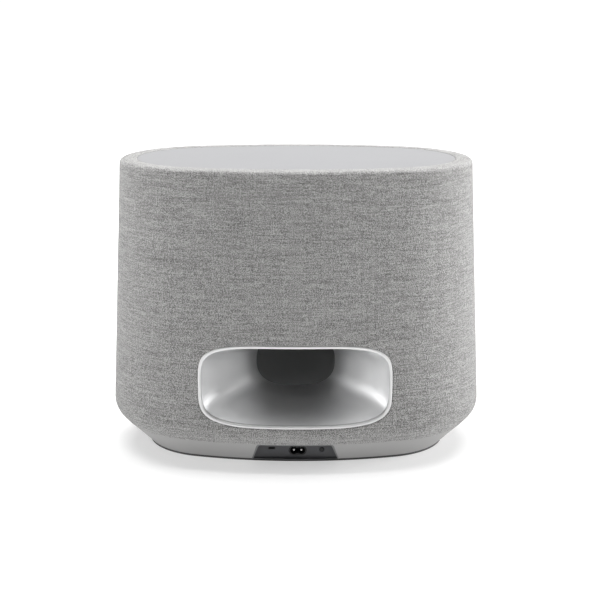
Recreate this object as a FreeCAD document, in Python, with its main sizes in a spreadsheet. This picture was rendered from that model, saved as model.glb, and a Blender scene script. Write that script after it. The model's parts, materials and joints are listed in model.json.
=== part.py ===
import FreeCAD, Part
import math
import os
import Sketcher

# Smart speaker: an oval, cloth-covered two-way stereo speaker with a rear bass port.
# Frame: millimetres, +Z up, front towards -Y, back towards +Y, origin on the surface
# that it stands on, under the middle of the body.
#
# Plan outline: an oval of four tangent arcs. An "inset" is the distance from the widest
# outline inwards, so every horizontal section is the same oval with smaller radii.
# Skin profile: flat cloth rim on top, small rim rounding, a wall that leans in slightly,
# a large rounding at the widest height, then a chamfer down to the hem and the base.
# A "depth" is the distance from the skin inwards, measured square to the skin.

DIMENSIONS = {
    # whole body
    "half_width": 210, "half_depth": 130, "end_radius": 118, "top_height": 326,
    "widest_height": 52, "widest_rounding": 25, "wall_lean": 2.98, "rim_rounding": 5.2,
    "chamfer_angle": 43, "hem_height": 29.2, "rim_inner_inset": 33,
    # layers of the skin, as depths
    "cloth_depth": 1.4, "grille_depth": 4.4, "cabinet_depth": 9, "cabinet_wall": 5,
    # grille slots in front of the drivers
    "slot_width": 12, "slot_rib": 4, "slot_height": 54, "slot_columns": 19,
    "slot_rows": 4, "slot_first_height": 62, "slot_row_pitch": 60, "slot_back": -60,
    # top panel and deck
    "panel_gap": 0.4, "panel_thickness": 3, "mic_hole_radius": 0.8, "mic_spacing": 60,
    "deck_inset": 19, "deck_floor": 316, "deck_thickness": 2.4, "deck_rim_width": 4,
    "deck_post_radius": 5, "deck_post_far": 150, "deck_post_near": 75,
    "deck_post_depth": 58, "touch_inset": 46, "board_thickness": 1.6,
    # base
    "base_top_inset": 12.4, "base_foot_inset": 38.9, "base_foot_height": 2.5,
    "base_wall": 4.2, "base_lip_inset": 58, "base_lip_height": 5.5, "locator_inset": 18.3,
    "locator_wall": 3, "locator_height": 38, "plate_inset": 48, "plate_thickness": 2.5,
    "foot_outer_inset": 39.5, "foot_inner_inset": 55,
    # connector recess at the back of the base
    "tray_half_width_low": 48.5, "tray_half_width_high": 41.3, "tray_floor": 0.8,
    "tray_corner": 5, "tray_wall": 1.8, "tray_back": 84, "tray_face": 86, "tray_lip": 10,
    "lip_gap_front": 67, "rib_gap": 0.4,
    # bass port
    "port_height": 96.9, "port_half_width": 104.3, "port_half_height": 45.8,
    "port_power": 4.2, "port_cut_near": 60, "port_cut_far": 140, "port_wall_above": 70,
    "trim_width": 3.5, "trim_recess": 0.15, "trim_depth": 5.2,
    "flange_width": 6, "flange_depth": 8, "horn_wall": 2, "horn_clearance": 2,
    "horn_skin_depth": 45, "horn_core_back": 90, "horn_core_low": 40,
    "horn_core_high": 160,
    "horn_throat": 40, "duct_half_width": 44, "duct_half_height": 30, "duct_power": 2.6,
    "duct_height": 102, "duct_run": 12, "duct_bend": 50, "duct_top": 235,
    # cabinet
    "cabinet_floor": 38, "cabinet_roof": 302, "cabinet_plate_inset": 22.2,
    "cabinet_floor_inset": 17.3, "cabinet_front": -79, "gasket_thickness": 1,
    "baffle_back": -80, "baffle_front": -88, "baffle_reach": 60, "boss_radius": 4.5,
    "boss_depth": 19, "boss_spacing": 110, "boss_edge": 8.5,
    # woofers, along their own axis: 0 is the front face of the baffle, + is forwards
    "woofer_offset": 82, "woofer_height": 125, "woofer_hole": 56.5,
    "basket_radius": 66, "basket_flange": 3, "basket_mouth": 55.5, "basket_seat": 34.5,
    "basket_length": 26, "basket_wall": 2, "basket_bore": 14.2, "woofer_bolt_circle": 61.5,
    "cone_radius": 44, "cone_edge": 2.6, "cone_neck": -12, "paper": 0.8, "cap_radius": 15,
    "cap_rise": 5, "surround_inner": 40, "surround_outer": 57, "surround_sheet": 0.6,
    "coil_radius": 13.4, "coil_wall": 0.8, "coil_front": -11, "coil_back": -34,
    "spider_height": -20, "spider_radius": 35, "spider_wave": 1.2,
    "magnet_radius": 31, "magnet_bore": 16, "magnet_length": 13, "plate_radius": 30,
    "plate_length": 3, "pole_radius": 12.2, "yoke_radius": 29, "yoke_plate": 5,
    # tweeters, along their own axis as above
    "tweeter_offset": 92, "tweeter_height": 236, "tweeter_hole": 18, "tweeter_radius": 26,
    "tweeter_flange": 3, "tweeter_mouth": 16, "tweeter_bore": 13.5, "dome_radius": 12.5,
    "dome_rise": 4, "dome_sheet": 0.5, "dome_edge": 0.6, "tweeter_motor_radius": 17,
    "tweeter_motor_length": 21, "tweeter_motor_gap": 0.3, "tweeter_bolt_circle": 21.5,
    # screws
    "driver_screw": 1.9, "driver_screw_head": 3.4, "driver_screw_length": 9,
    "screw_head_height": 2, "case_screw": 1.5, "case_screw_head": 3.4,
    "case_screw_length": 14, "screw_gap": 0.2, "screw_slot": 1,
    # connections
    "inlet_offset": -2.6, "inlet_height": 11.1, "inlet_width": 20, "inlet_tall": 11,
    "inlet_length": 18, "socket_radius": 4.4, "socket_pitch": 8.2, "socket_waist": 6.6,
    "socket_depth": 13, "notch_gap": 0.5, "pin_radius": 1, "pin_pitch": 8.2, "pin_tip": 1.5,
    "service_offset": 26.2, "service_height": 13.7, "service_width": 7.5,
    "service_tall": 2.8, "service_length": 6, "service_wall": 0.4,
    "button_offset": -29.4, "button_height": 12.2, "button_radius": 2.6,
    "button_length": 7.9, "button_proud": 0.4, "button_gap": 0.3, "button_collar": 3.6,
    "button_travel": 0.8, "switch_size": 6, "switch_body": 7, "plunger_radius": 1.5,
    "io_board_face": 63.6, "io_board_half_width": 48, "io_board_top": 26,
    # electronics in the base
    "board_floor": 11, "board_near": 66, "board_far": 138, "board_half_depth": 48,
    "power_half_width": 47, "power_front": -74, "power_back": 30,
    "standoff_radius": 3, "post_near": 56.5, "post_near_front": -40,
    "post_near_back": 38, "post_far": 146, "wire_radius": 1.5, "wire_bend": 12,
    "wire_offset": 110, "wire_depth": 34, "wire_height": 90, "wire_end": -74.4,
    # damping wool
    "wool_near": 76, "wool_far": 168, "wool_front": -18, "wool_back": 38,
    "wool_bottom": 158,
}

X, Y, Z = FreeCAD.Vector(1, 0, 0), FreeCAD.Vector(0, 1, 0), FreeCAD.Vector(0, 0, 1)
ORIGIN = FreeCAD.Vector(0, 0, 0)
FORWARD = FreeCAD.Rotation(X, 90)       # turns +Z to -Y, the way the drivers face
BACKWARD = FreeCAD.Rotation(X, -90)     # turns +Z to +Y, the way the sockets face
SIDES = {"left": -1, "right": 1}        # as a listener in front of the speaker sees them

doc = FreeCAD.newDocument("smart_speaker")
sheet = doc.addObject("Spreadsheet::Sheet", "Sheet")
for row, (alias, value) in enumerate(DIMENSIONS.items(), start=1):
    sheet.set("A%d" % row, alias)
    sheet.set("B%d" % row, str(value))
    sheet.setAlias("B%d" % row, alias)
doc.recompute()


# ---------------------------------------------------------------- sizes with expressions
class Size:
    """A number together with the spreadsheet expression that gives it."""

    def __init__(self, number, text):
        self.number = float(number)
        self.text = text

    def __add__(self, other):
        return combine(self, "+", other, self.number + as_size(other).number)

    def __sub__(self, other):
        return combine(self, "-", other, self.number - as_size(other).number)

    def __mul__(self, other):
        return combine(self, "*", other, self.number * as_size(other).number)

    def __truediv__(self, other):
        return combine(self, "/", other, self.number / as_size(other).number)

    def __radd__(self, other):
        return as_size(other) + self

    def __rsub__(self, other):
        return as_size(other) - self

    def __rmul__(self, other):
        return as_size(other) * self

    def __neg__(self):
        return as_size(0) - self


def as_size(value):
    return value if isinstance(value, Size) else Size(value, repr(float(value)))


def combine(first, sign, second, number):
    return Size(number, "(%s %s %s)" % (first.text, sign, as_size(second).text))


def sine(angle):
    return Size(math.sin(math.radians(angle.number)), "sin(%s)" % angle.text)


def cosine(angle):
    return Size(math.cos(math.radians(angle.number)), "cos(%s)" % angle.text)


def arctangent(ratio):
    return Size(math.degrees(math.atan(ratio.number)), "atan(%s)" % ratio.text)


class Dimensions:
    """Every cell of the sheet by name, as a Size."""


dim = Dimensions()
for alias in DIMENSIONS:
    setattr(dim, alias, Size(getattr(sheet, alias), "Sheet." + alias))

end_centre = dim.half_width - dim.end_radius
side_centre = ((end_centre * end_centre + dim.half_depth * dim.half_depth
                - dim.end_radius * dim.end_radius)
               / (2 * (dim.half_depth - dim.end_radius)) - dim.half_depth)
end_sweep = 2 * arctangent(side_centre / end_centre)
side_sweep = 2 * arctangent(end_centre / side_centre)
rim_height = dim.top_height - dim.rim_rounding


def wall_inset(depth, height):
    """Inset of the leaning wall at a depth under the skin and a height."""
    rise = (height - dim.widest_height) * sine(dim.wall_lean)
    return dim.widest_rounding - (dim.widest_rounding - depth - rise) / cosine(dim.wall_lean)


def chamfer_inset(depth, height):
    """Inset of the chamfer below the widest rounding."""
    rise = (dim.widest_height - height) * sine(dim.chamfer_angle)
    return (dim.widest_rounding
            - (dim.widest_rounding - depth - rise) / cosine(dim.chamfer_angle))


rim_centre_inset = wall_inset(as_size(0), rim_height) + dim.rim_rounding / cosine(dim.wall_lean)


# ---------------------------------------------------------------- drawing and building
def bind(thing, **sizes):
    """Ties properties of an object to expressions, such as Length=dim.cloth_depth."""
    for name, value in sizes.items():
        thing.setExpression(name, as_size(value).text)
    return thing


def add(kind, label):
    thing = doc.addObject(kind, label)
    thing.Label = label
    return thing


def put(thing, x=0, y=0, z=0, turn=None):
    """Places an object, with its position tied to the sheet."""
    spot = [as_size(value) for value in (x, y, z)]
    thing.Placement = FreeCAD.Placement(
        FreeCAD.Vector(*(value.number for value in spot)), turn or FreeCAD.Rotation())
    for name, value in zip("xyz", spot):
        thing.setExpression("Placement.Base." + name, value.text)
    return thing


def draw(sketch, corners):
    """Draws a closed outline. A corner is (x, y), or (x, y, radius) with the centre of
    an arc that the straight runs on both sides touch. The outline turns left round an
    arc of positive radius, and right round one of negative radius."""
    spots = [tuple(as_size(value) for value in corner) for corner in corners]
    count = len(spots)
    centres = [FreeCAD.Vector(spot[0].number, spot[1].number, 0) for spot in spots]
    reach = [spot[2].number if len(spot) == 3 else 0 for spot in spots]
    starts, ends = [None] * count, [None] * count
    for index in range(count):
        ahead = (index + 1) % count
        step = centres[ahead] - centres[index]
        shift = reach[ahead] - reach[index]
        run = math.sqrt(step.Length ** 2 - shift ** 2)
        angle = math.atan2(step.y, step.x) - math.atan2(shift, run)
        leftward = FreeCAD.Vector(-math.sin(angle), math.cos(angle), 0)
        starts[index] = centres[index] - leftward * reach[index]
        ends[ahead] = centres[ahead] - leftward * reach[ahead]
    lines = [sketch.addGeometry(Part.LineSegment(starts[index], ends[(index + 1) % count]))
             for index in range(count)]
    for index, spot in enumerate(spots):
        line_in, line_out = lines[index - 1], lines[index]
        if len(spot) == 2:
            sketch.addConstraint(Sketcher.Constraint("Coincident", line_in, 2, line_out, 1))
            fix(sketch, line_out, 1, spot)
            continue
        near, far = (ends[index], starts[index])
        if reach[index] < 0:
            near, far = far, near
        first, last = (math.atan2(*(reversed((spot_end - centres[index])[:2])))
                       for spot_end in (near, far))
        if last < first:
            last += 2 * math.pi
        circle = Part.Circle(centres[index], Z, abs(reach[index]))
        arc = sketch.addGeometry(Part.ArcOfCircle(circle, first, last))
        enter, leave = (1, 2) if reach[index] > 0 else (2, 1)
        sketch.addConstraint(Sketcher.Constraint("Tangent", line_in, 2, arc, enter))
        sketch.addConstraint(Sketcher.Constraint("Tangent", line_out, 1, arc, leave))
        fix(sketch, arc, 3, spot)
        dimension(sketch, ("Radius", arc), spot[2] if reach[index] > 0 else -spot[2])
    return sketch


def fix(sketch, item, point, spot):
    """Dimensions a point of a sketch from the sketch's origin."""
    dimension(sketch, ("DistanceX", -1, 1, item, point), spot[0])
    dimension(sketch, ("DistanceY", -1, 1, item, point), spot[1])


def dimension(sketch, what, size):
    index = sketch.addConstraint(Sketcher.Constraint(*what, size.number))
    sketch.setExpression("Constraints[%d]" % index, size.text)


def draw_circle(sketch, x, y, radius):
    spot = tuple(as_size(value) for value in (x, y, radius))
    centre = FreeCAD.Vector(spot[0].number, spot[1].number, 0)
    circle = sketch.addGeometry(Part.Circle(centre, Z, spot[2].number))
    fix(sketch, circle, 3, spot)
    dimension(sketch, ("Radius", circle), spot[2])


def body_plane(body, role):
    return [item for item in body.Origin.OriginFeatures if item.Role == role][0]


def sketch_on(body, role="XY_Plane", offset=0):
    """A new sketch on one of a body's own origin planes, moved along its normal."""
    sketch = body.newObject("Sketcher::SketchObject", body.Label + "_outline")
    sketch.AttachmentSupport = [(body_plane(body, role), "")]
    sketch.MapMode = "FlatFace"
    sketch.setExpression("AttachmentOffset.Base.z", as_size(offset).text)
    return sketch


def add_feature(body, kind, sketch=None, **sizes):
    feature = body.newObject("PartDesign::" + kind, body.Label + "_" + kind.lower())
    if sketch is not None:
        feature.Profile = sketch
    return bind(feature, **sizes)


def turned_body(label, corners):
    """A body made by turning an outline of (radius, height) corners about its Z axis."""
    body = add("PartDesign::Body", label)
    sketch = draw(sketch_on(body, "XZ_Plane"), corners)
    feature = add_feature(body, "Revolution", sketch)
    feature.ReferenceAxis = (sketch, ["V_Axis"])
    feature.Angle = 360
    return body


def bore(body, sketch, depth, count=1):
    """Cuts a sketch into a body upwards, and repeats the cut round the Z axis."""
    pocket = add_feature(body, "Pocket", sketch, Length=depth)
    pocket.Reversed = True
    if count > 1:
        pattern = body.newObject("PartDesign::PolarPattern", body.Label + "_pattern")
        pattern.Originals = [pocket]
        pattern.Axis = ([item for item in body.Origin.OriginFeatures
                         if item.Role == "Z_Axis"][0], [""])
        pattern.Angle = 360
        pattern.Occurrences = count
        body.Tip = pattern
    return body


def box(label, low, high):
    """A box between two corners, each a triple of sizes."""
    low = [as_size(value) for value in low]
    high = [as_size(value) for value in high]
    thing = bind(add("Part::Box", label), Length=high[0] - low[0],
                 Width=high[1] - low[1], Height=high[2] - low[2])
    return put(thing, *low)


def rod(label, radius, length, x, y, z, turn=None):
    thing = bind(add("Part::Cylinder", label), Radius=radius, Height=length)
    return put(thing, x, y, z, turn)


def fuse(label, *parts):
    thing = add("Part::MultiFuse", label)
    thing.Shapes = list(parts)
    thing.Refine = True
    return thing


def group(label, *parts):
    thing = add("Part::Compound", label)
    thing.Links = list(parts)
    return thing


def cut(label, base, *tools):
    thing = add("Part::Cut", label)
    thing.Base = base
    thing.Tool = tools[0] if len(tools) == 1 else fuse(label + "_tools", *tools)
    return thing


def common(label, base, tool):
    thing = add("Part::Common", label)
    thing.Base = base
    thing.Tool = tool
    return thing


def solid(label, shape):
    """A shape made with the Part functions, from sizes read from the sheet."""
    thing = add("Part::Feature", label)
    thing.Shape = shape
    return thing


def ring(label, corners):
    """A ring that follows the oval, from a section of (inset, height[, radius]) corners.
    The end sector turns about the end arc's centre and the side sector about the side
    arc's centre, and both are mirrored."""
    sectors = []
    for name, half, turn, sweep, axis in (
            ("end", dim.half_width, FreeCAD.Rotation(X, 90), end_sweep, (end_centre, 0)),
            ("side", dim.half_depth, FreeCAD.Rotation(X + Y + Z, 120), side_sweep,
             (0, -side_centre))):
        section = add("Sketcher::SketchObject", "%s_%s_section" % (label, name))
        section.Placement = FreeCAD.Placement(ORIGIN, turn)
        draw(section, [(half - corner[0],) + tuple(corner[1:]) for corner in corners])
        sector = add("Part::Revolution", "%s_%s" % (label, name))
        sector.Source = section
        sector.Axis = Z
        sector.Symmetric = True
        sector.Solid = True
        sector.setExpression("Base.x", as_size(axis[0]).text)
        sector.setExpression("Base.y", as_size(axis[1]).text)
        bind(sector, Angle=sweep)
        mirror = add("Part::Mirroring", "%s_other_%s" % (label, name))
        mirror.Source = sector
        mirror.Normal = X if name == "end" else Y
        sectors += [sector, mirror]
    return fuse(label, *sectors)


def skin_ring(label, outer, inner, low=None, high=None):
    """A shell between two depths under the skin: the whole skin down to the hem, or only
    the wall between two heights."""
    low = dim.hem_height if low is None else low
    if high is None:
        top_out = [(dim.rim_inner_inset, dim.top_height - outer),
                   (rim_centre_inset, rim_height, outer - dim.rim_rounding)]
        top_in = [(rim_centre_inset, rim_height, dim.rim_rounding - inner),
                  (dim.rim_inner_inset, dim.top_height - inner)]
    else:
        top_out = [(wall_inset(outer, high), high)]
        top_in = [(wall_inset(inner, high), high)]
    widest = (dim.widest_rounding, dim.widest_height)
    return ring(label, top_out
                + [widest + (outer - dim.widest_rounding,), (chamfer_inset(outer, low), low),
                   (chamfer_inset(inner, low), low), widest + (dim.widest_rounding - inner,)]
                + top_in)


def back_ring(label, outer, inner):
    """The stretch of the wall at port height, between two depths under the skin."""
    low = dim.widest_height
    high = dim.port_height + dim.port_wall_above
    return ring(label, [(wall_inset(outer, low), low), (wall_inset(inner, low), low),
                        (wall_inset(inner, high), high), (wall_inset(outer, high), high)])


def oval_plate(label, inset, floor, thickness):
    """A flat plate of the oval's shape: half of it padded, then mirrored."""
    body = add("PartDesign::Body", label)
    sketch = sketch_on(body, "XY_Plane", floor)
    floor, inset = as_size(floor), as_size(inset)
    end, side = dim.end_radius - inset, side_centre + dim.half_depth - inset
    joint = math.radians(end_sweep.number / 2)
    middle = FreeCAD.Vector(end_centre.number, 0, 0)
    arcs = [sketch.addGeometry(Part.ArcOfCircle(
        Part.Circle(middle, Z, end.number), -joint, joint))]
    for sign in (1, -1):
        centre = FreeCAD.Vector(0, -sign * side_centre.number, 0)
        span = sorted((sign * joint, sign * math.pi / 2))
        arcs.append(sketch.addGeometry(Part.ArcOfCircle(
            Part.Circle(centre, Z, side.number), *span)))
    upper, lower = (FreeCAD.Vector(0, sign * (dim.half_depth - inset).number, 0)
                    for sign in (1, -1))
    line = sketch.addGeometry(Part.LineSegment(upper, lower))
    for rule in (("Tangent", arcs[0], 2, arcs[1], 1), ("Tangent", arcs[0], 1, arcs[2], 2),
                 ("Coincident", arcs[1], 2, line, 1), ("Coincident", arcs[2], 1, line, 2),
                 ("PointOnObject", arcs[0], 3, -1), ("PointOnObject", arcs[1], 3, -2),
                 ("PointOnObject", arcs[2], 3, -2), ("PointOnObject", line, 1, -2),
                 ("PointOnObject", line, 2, -2)):
        sketch.addConstraint(Sketcher.Constraint(*rule))
    dimension(sketch, ("DistanceX", -1, 1, arcs[0], 3), end_centre)
    dimension(sketch, ("Radius", arcs[0]), end)
    dimension(sketch, ("Radius", arcs[1]), side)
    dimension(sketch, ("Radius", arcs[2]), side)
    pad = add_feature(body, "Pad", sketch, Length=thickness)
    mirror = body.newObject("PartDesign::Mirrored", label + "_mirrored")
    mirror.Originals = [pad]
    mirror.MirrorPlane = (body_plane(body, "YZ_Plane"), [""])
    body.Tip = mirror
    return body


def port_outline(half_width, half_height, y, z, power):
    """The port's outline, a superellipse, as a smooth closed wire at one depth."""
    steps = 48
    points = []
    for step in range(steps):
        angle = 2 * math.pi * step / steps
        across, up = math.cos(angle), math.sin(angle)
        points.append(FreeCAD.Vector(
            half_width * math.copysign(abs(across) ** (2 / power), across), y,
            z + half_height * math.copysign(abs(up) ** (2 / power), up)))
    curve = Part.BSplineCurve()
    curve.interpolate(points, PeriodicFlag=True)
    return Part.Wire(curve.toShape())


def port_prism(label, grow):
    """A prism of the port's outline, grown by a distance, through the back wall."""
    outline = port_outline((dim.port_half_width + grow).number,
                           (dim.port_half_height + grow).number, dim.port_cut_near.number,
                           dim.port_height.number, dim.port_power.number)
    length = (dim.port_cut_far - dim.port_cut_near).number
    return solid(label, Part.Face(outline).extrude(Y * length))


def wire_tube(points, radius, bend):
    """A round wire along straight runs joined by arcs of one radius."""
    edges, start = [], points[0]
    for index in range(1, len(points) - 1):
        corner = points[index]
        to_start = (points[index - 1] - corner).normalize()
        to_end = (points[index + 1] - corner).normalize()
        half = to_start.getAngle(to_end) / 2
        near = corner + to_start * (bend / math.tan(half))
        far = corner + to_end * (bend / math.tan(half))
        bisector = (to_start + to_end).normalize()
        middle = corner + bisector * (bend / math.sin(half) - bend)
        edges += [Part.LineSegment(start, near).toShape(), Part.Arc(near, middle, far).toShape()]
        start = far
    edges.append(Part.LineSegment(start, points[-1]).toShape())
    section = Part.Wire(Part.Circle(points[0], points[1] - points[0], radius).toShape())
    return Part.Wire(edges).makePipeShell([section], True, False)


NODES = []


def node(label, thing):
    """Names a finished piece of the speaker."""
    thing.Label = label
    NODES.append(thing)
    return thing


# ---------------------------------------------------------------- shared cutters
port_hole = port_prism("port_hole", as_size(0))

slot_step = dim.slot_width + dim.slot_rib
slots = []
for column in range(int(dim.slot_columns.number)):
    for row in range(int(dim.slot_rows.number)):
        left = slot_step * (column - (dim.slot_columns.number - 1) / 2) - dim.slot_width / 2
        foot = dim.slot_first_height + row * dim.slot_row_pitch
        slots.append(box("slot", (left, -dim.half_depth, foot),
                         (left + dim.slot_width, dim.slot_back, foot + dim.slot_height)))
front_slots = group("front_slots", *slots)


def tray_corners(margin, floor):
    """The trapezoid of the connector recess in the XZ plane, shrunk by a margin."""
    slope = ((dim.tray_half_width_low - dim.tray_half_width_high)
             / (dim.hem_height - dim.tray_floor))
    top = dim.hem_height - margin
    low_half = dim.tray_half_width_low - margin
    high_half = dim.tray_half_width_high - margin
    corner = dim.tray_corner - margin
    right = high_half - corner + slope * corner
    return [(-low_half, floor), (low_half, floor), (right, top - corner, corner),
            (-right, top - corner, corner)]


def prism_back(label, corners, near, far):
    """A prism along Y of an outline in the XZ plane."""
    body = add("PartDesign::Body", label)
    sketch = draw(sketch_on(body, "XZ_Plane", -as_size(far)), corners)
    add_feature(body, "Pad", sketch, Length=as_size(far) - near)
    return body


tray_block = prism_back("tray_block", tray_corners(as_size(0), dim.tray_floor), dim.tray_back,
                        dim.half_depth)
tray_hollow = prism_back("tray_hollow", tray_corners(dim.tray_wall, dim.base_foot_height),
                         dim.tray_face, dim.half_depth)

# ---------------------------------------------------------------- housing
node("fabric_cover", cut("fabric_cover", skin_ring("cloth_skin", as_size(0), dim.cloth_depth),
                         port_hole))
node("grille_frame", cut("grille_frame",
                         skin_ring("grille_skin", dim.cloth_depth, dim.grille_depth),
                         group("grille_openings", port_hole, front_slots)))

panel_inset = dim.rim_inner_inset + dim.panel_gap
panel_floor = dim.top_height - dim.panel_thickness
panel = oval_plate("top_panel", panel_inset, panel_floor, dim.panel_thickness)
mic_holes = sketch_on(panel, "XY_Plane", panel_floor)
for side in (-1, 1):
    for face in (-1, 1):
        draw_circle(mic_holes, side * dim.mic_spacing, face * dim.mic_spacing / 2,
                    dim.mic_hole_radius)
node("top_panel", bore(panel, mic_holes, dim.panel_thickness))

deck_top = dim.deck_floor + dim.deck_thickness
touch_floor = panel_floor - dim.board_thickness
deck_posts = [(side * dim.deck_post_far, 0) for side in (-1, 1)]
deck_posts += [(side * dim.deck_post_near, face * dim.deck_post_depth)
               for side in (-1, 1) for face in (-1, 1)]
deck_parts = [oval_plate("deck_plate", dim.deck_inset, dim.deck_floor, dim.deck_thickness)]
deck_parts.append(ring("deck_rim", [
    (panel_inset + 1, dim.deck_floor), (panel_inset + 1, panel_floor),
    (panel_inset + 1 + dim.deck_rim_width, panel_floor),
    (panel_inset + 1 + dim.deck_rim_width, dim.deck_floor)]))
for x, y in deck_posts:
    deck_parts.append(rod("deck_post", dim.deck_post_radius, dim.deck_floor - dim.cabinet_roof
                          + 1, x, y, dim.cabinet_roof))
for side in (-1, 1):
    deck_parts.append(rod("board_rest", dim.standoff_radius, touch_floor - dim.deck_floor,
                          side * dim.deck_post_near, 0, dim.deck_floor))
deck_bores = [rod("deck_bore", dim.case_screw + dim.screw_gap, deck_top - dim.cabinet_roof,
                  x, y, dim.cabinet_roof) for x, y in deck_posts]
node("top_deck", cut("top_deck", fuse("deck_blank", *deck_parts),
                     group("deck_bores", *deck_bores)))

base_fall = ((dim.base_foot_inset - dim.base_top_inset)
             / (dim.hem_height - dim.base_foot_height))


def base_inset(height, shift=0):
    """Inset of the base's outer slope at a height, moved inwards by a shift."""
    return dim.base_top_inset + shift + (dim.hem_height - height) * base_fall


locator_back = dim.locator_inset + dim.locator_wall
inner_top = dim.hem_height - (locator_back - dim.base_top_inset - dim.base_wall) / base_fall
base_blank = ring("base_blank", [
    (dim.base_top_inset, dim.hem_height), (dim.base_foot_inset, dim.base_foot_height),
    (dim.base_lip_inset, dim.base_foot_height), (dim.base_lip_inset, dim.base_lip_height),
    (base_inset(dim.base_lip_height, dim.base_wall), dim.base_lip_height),
    (locator_back, inner_top), (locator_back, dim.hem_height)])
lip_gap = box("lip_gap", (-dim.tray_half_width_low, dim.lip_gap_front, dim.base_foot_height),
              (dim.tray_half_width_low, dim.tray_back, dim.base_lip_height))
node("base_housing", cut("base_housing", base_blank, group("base_openings", tray_block,
                                                           lip_gap)))

node("locating_collar", ring("locating_collar", [
    (dim.locator_inset, dim.hem_height), (locator_back, dim.hem_height),
    (locator_back, dim.locator_height), (dim.locator_inset, dim.locator_height)]))

plate_top = dim.base_lip_height + dim.plate_thickness
base_posts = [(side * dim.post_near, y) for side in (-1, 1)
              for y in (dim.post_near_front, dim.post_near_back)]
base_posts += [(side * dim.post_far, 0) for side in (-1, 1)]
board_rests = [(side * x, y) for side in (-1, 1)
               for x in (dim.board_near + 6, dim.board_far - 6)
               for y in (-dim.board_half_depth + 6, dim.board_half_depth - 6)]
board_rests += [(side * (dim.power_half_width - 5), y) for side in (-1, 1)
                for y in (dim.power_front + 12, dim.power_back - 5)]
plate_parts = [oval_plate("bottom_blank", dim.plate_inset, dim.base_lip_height,
                          dim.plate_thickness)]
plate_parts += [rod("board_rest", dim.standoff_radius, dim.board_floor - dim.base_lip_height,
                    x, y, dim.base_lip_height) for x, y in board_rests]
plate_parts.append(box("plate_rib",
                       (-dim.tray_half_width_low + dim.rib_gap, dim.lip_gap_front + dim.rib_gap,
                        dim.base_foot_height),
                       (dim.tray_half_width_low - dim.rib_gap, dim.tray_back - dim.rib_gap,
                        dim.base_lip_height)))
plate_bores = [rod("plate_bore", dim.case_screw + dim.screw_gap, dim.plate_thickness, x, y,
                   dim.base_lip_height) for x, y in base_posts]
notch_half = dim.inlet_width / 2 + dim.notch_gap
inlet_notch = box("inlet_notch",
                  (dim.inlet_offset - notch_half, dim.io_board_face + dim.notch_gap,
                   dim.base_lip_height),
                  (dim.inlet_offset + notch_half, dim.tray_face, plate_top))
node("bottom_plate", cut("bottom_plate", fuse("plate_blank", *plate_parts),
                         group("plate_bores", *plate_bores), inlet_notch))

foot_blank = ring("foot_blank", [
    (dim.foot_outer_inset, 0), (dim.foot_outer_inset, dim.base_foot_height),
    (dim.foot_inner_inset, dim.base_foot_height), (dim.foot_inner_inset, 0)])
node("foot_ring", cut("foot_ring", foot_blank, tray_block))

# ---------------------------------------------------------------- bass port
trim_prism = cut("trim_prism", port_hole, port_prism("trim_hole", -dim.trim_width))
node("port_trim", common("port_trim", back_ring("trim_skin", dim.trim_recess, dim.trim_depth),
                         trim_prism))

# Half width and half height of the flare at distances along Y, from mouth to throat.
HORN_SECTIONS = ((132, 113, 44.6), (122, 106.5, 42), (112, 100.5, 39.4), (95, 87, 36.4),
                 (75, 69.5, 33.9), (55, 53.5, 31.6), (40, 44, 30))
horn_mouth = HORN_SECTIONS[0][0]
horn_length = horn_mouth - dim.horn_throat.number


def horn_loft(grow):
    """The flare's inner form, grown by a wall thickness."""
    wires = []
    for y, half_width, half_height in HORN_SECTIONS:
        along = (horn_mouth - y) / horn_length
        height = dim.port_height.number + along * (dim.duct_height - dim.port_height).number
        power = dim.port_power.number + along * (dim.duct_power - dim.port_power).number
        wires.append(port_outline(half_width + grow, half_height + grow, y, height, power))
    return Part.makeLoft(wires, True, False)


horn_inside = solid("horn_inside", horn_loft(0))
horn_wall = common("horn_wall", solid("horn_outside", horn_loft(dim.horn_wall.number)),
                   fuse("horn_reach", back_ring("horn_back_skin", dim.trim_depth,
                                                dim.horn_skin_depth),
                        box("horn_core",
                            (-dim.port_half_width, dim.horn_throat, dim.horn_core_low),
                            (dim.port_half_width, dim.horn_core_back, dim.horn_core_high))))
horn_flange = common("horn_flange", back_ring("flange_skin", dim.trim_depth, dim.flange_depth),
                     port_prism("flange_prism", dim.flange_width))
node("port_horn", cut("port_horn", fuse("horn_blank", horn_wall, horn_flange), horn_inside))

cabinet_hole = port_prism("cabinet_hole", dim.horn_clearance)
node("port_gasket", common("port_gasket", back_ring("gasket_skin", dim.flange_depth,
                                                    dim.cabinet_depth),
                           cut("gasket_prism", port_prism("gasket_outer", dim.flange_width),
                               cabinet_hole)))


def duct(grow):
    """The duct's inner form, grown by a wall: back from the throat, then up a bend."""
    start = FreeCAD.Vector(0, dim.horn_throat.number, dim.duct_height.number)
    bend_start = start - Y * dim.duct_run.number
    bend = dim.duct_bend.number
    slant = math.sqrt(0.5) * bend
    middle = bend_start + FreeCAD.Vector(0, -slant, bend - slant)
    bend_end = bend_start + FreeCAD.Vector(0, -bend, bend)
    top = FreeCAD.Vector(0, bend_end.y, dim.duct_top.number)
    path = Part.Wire([Part.LineSegment(start, bend_start).toShape(),
                      Part.Arc(bend_start, middle, bend_end).toShape(),
                      Part.LineSegment(bend_end, top).toShape()])
    section = port_outline(dim.duct_half_width.number + grow,
                           dim.duct_half_height.number + grow, start.y, start.z,
                           dim.duct_power.number)
    return path.makePipeShell([section], True, False)


node("port_tube", cut("port_tube", solid("duct_outside", duct(dim.horn_wall.number)),
                      solid("duct_inside", duct(0))))

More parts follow.
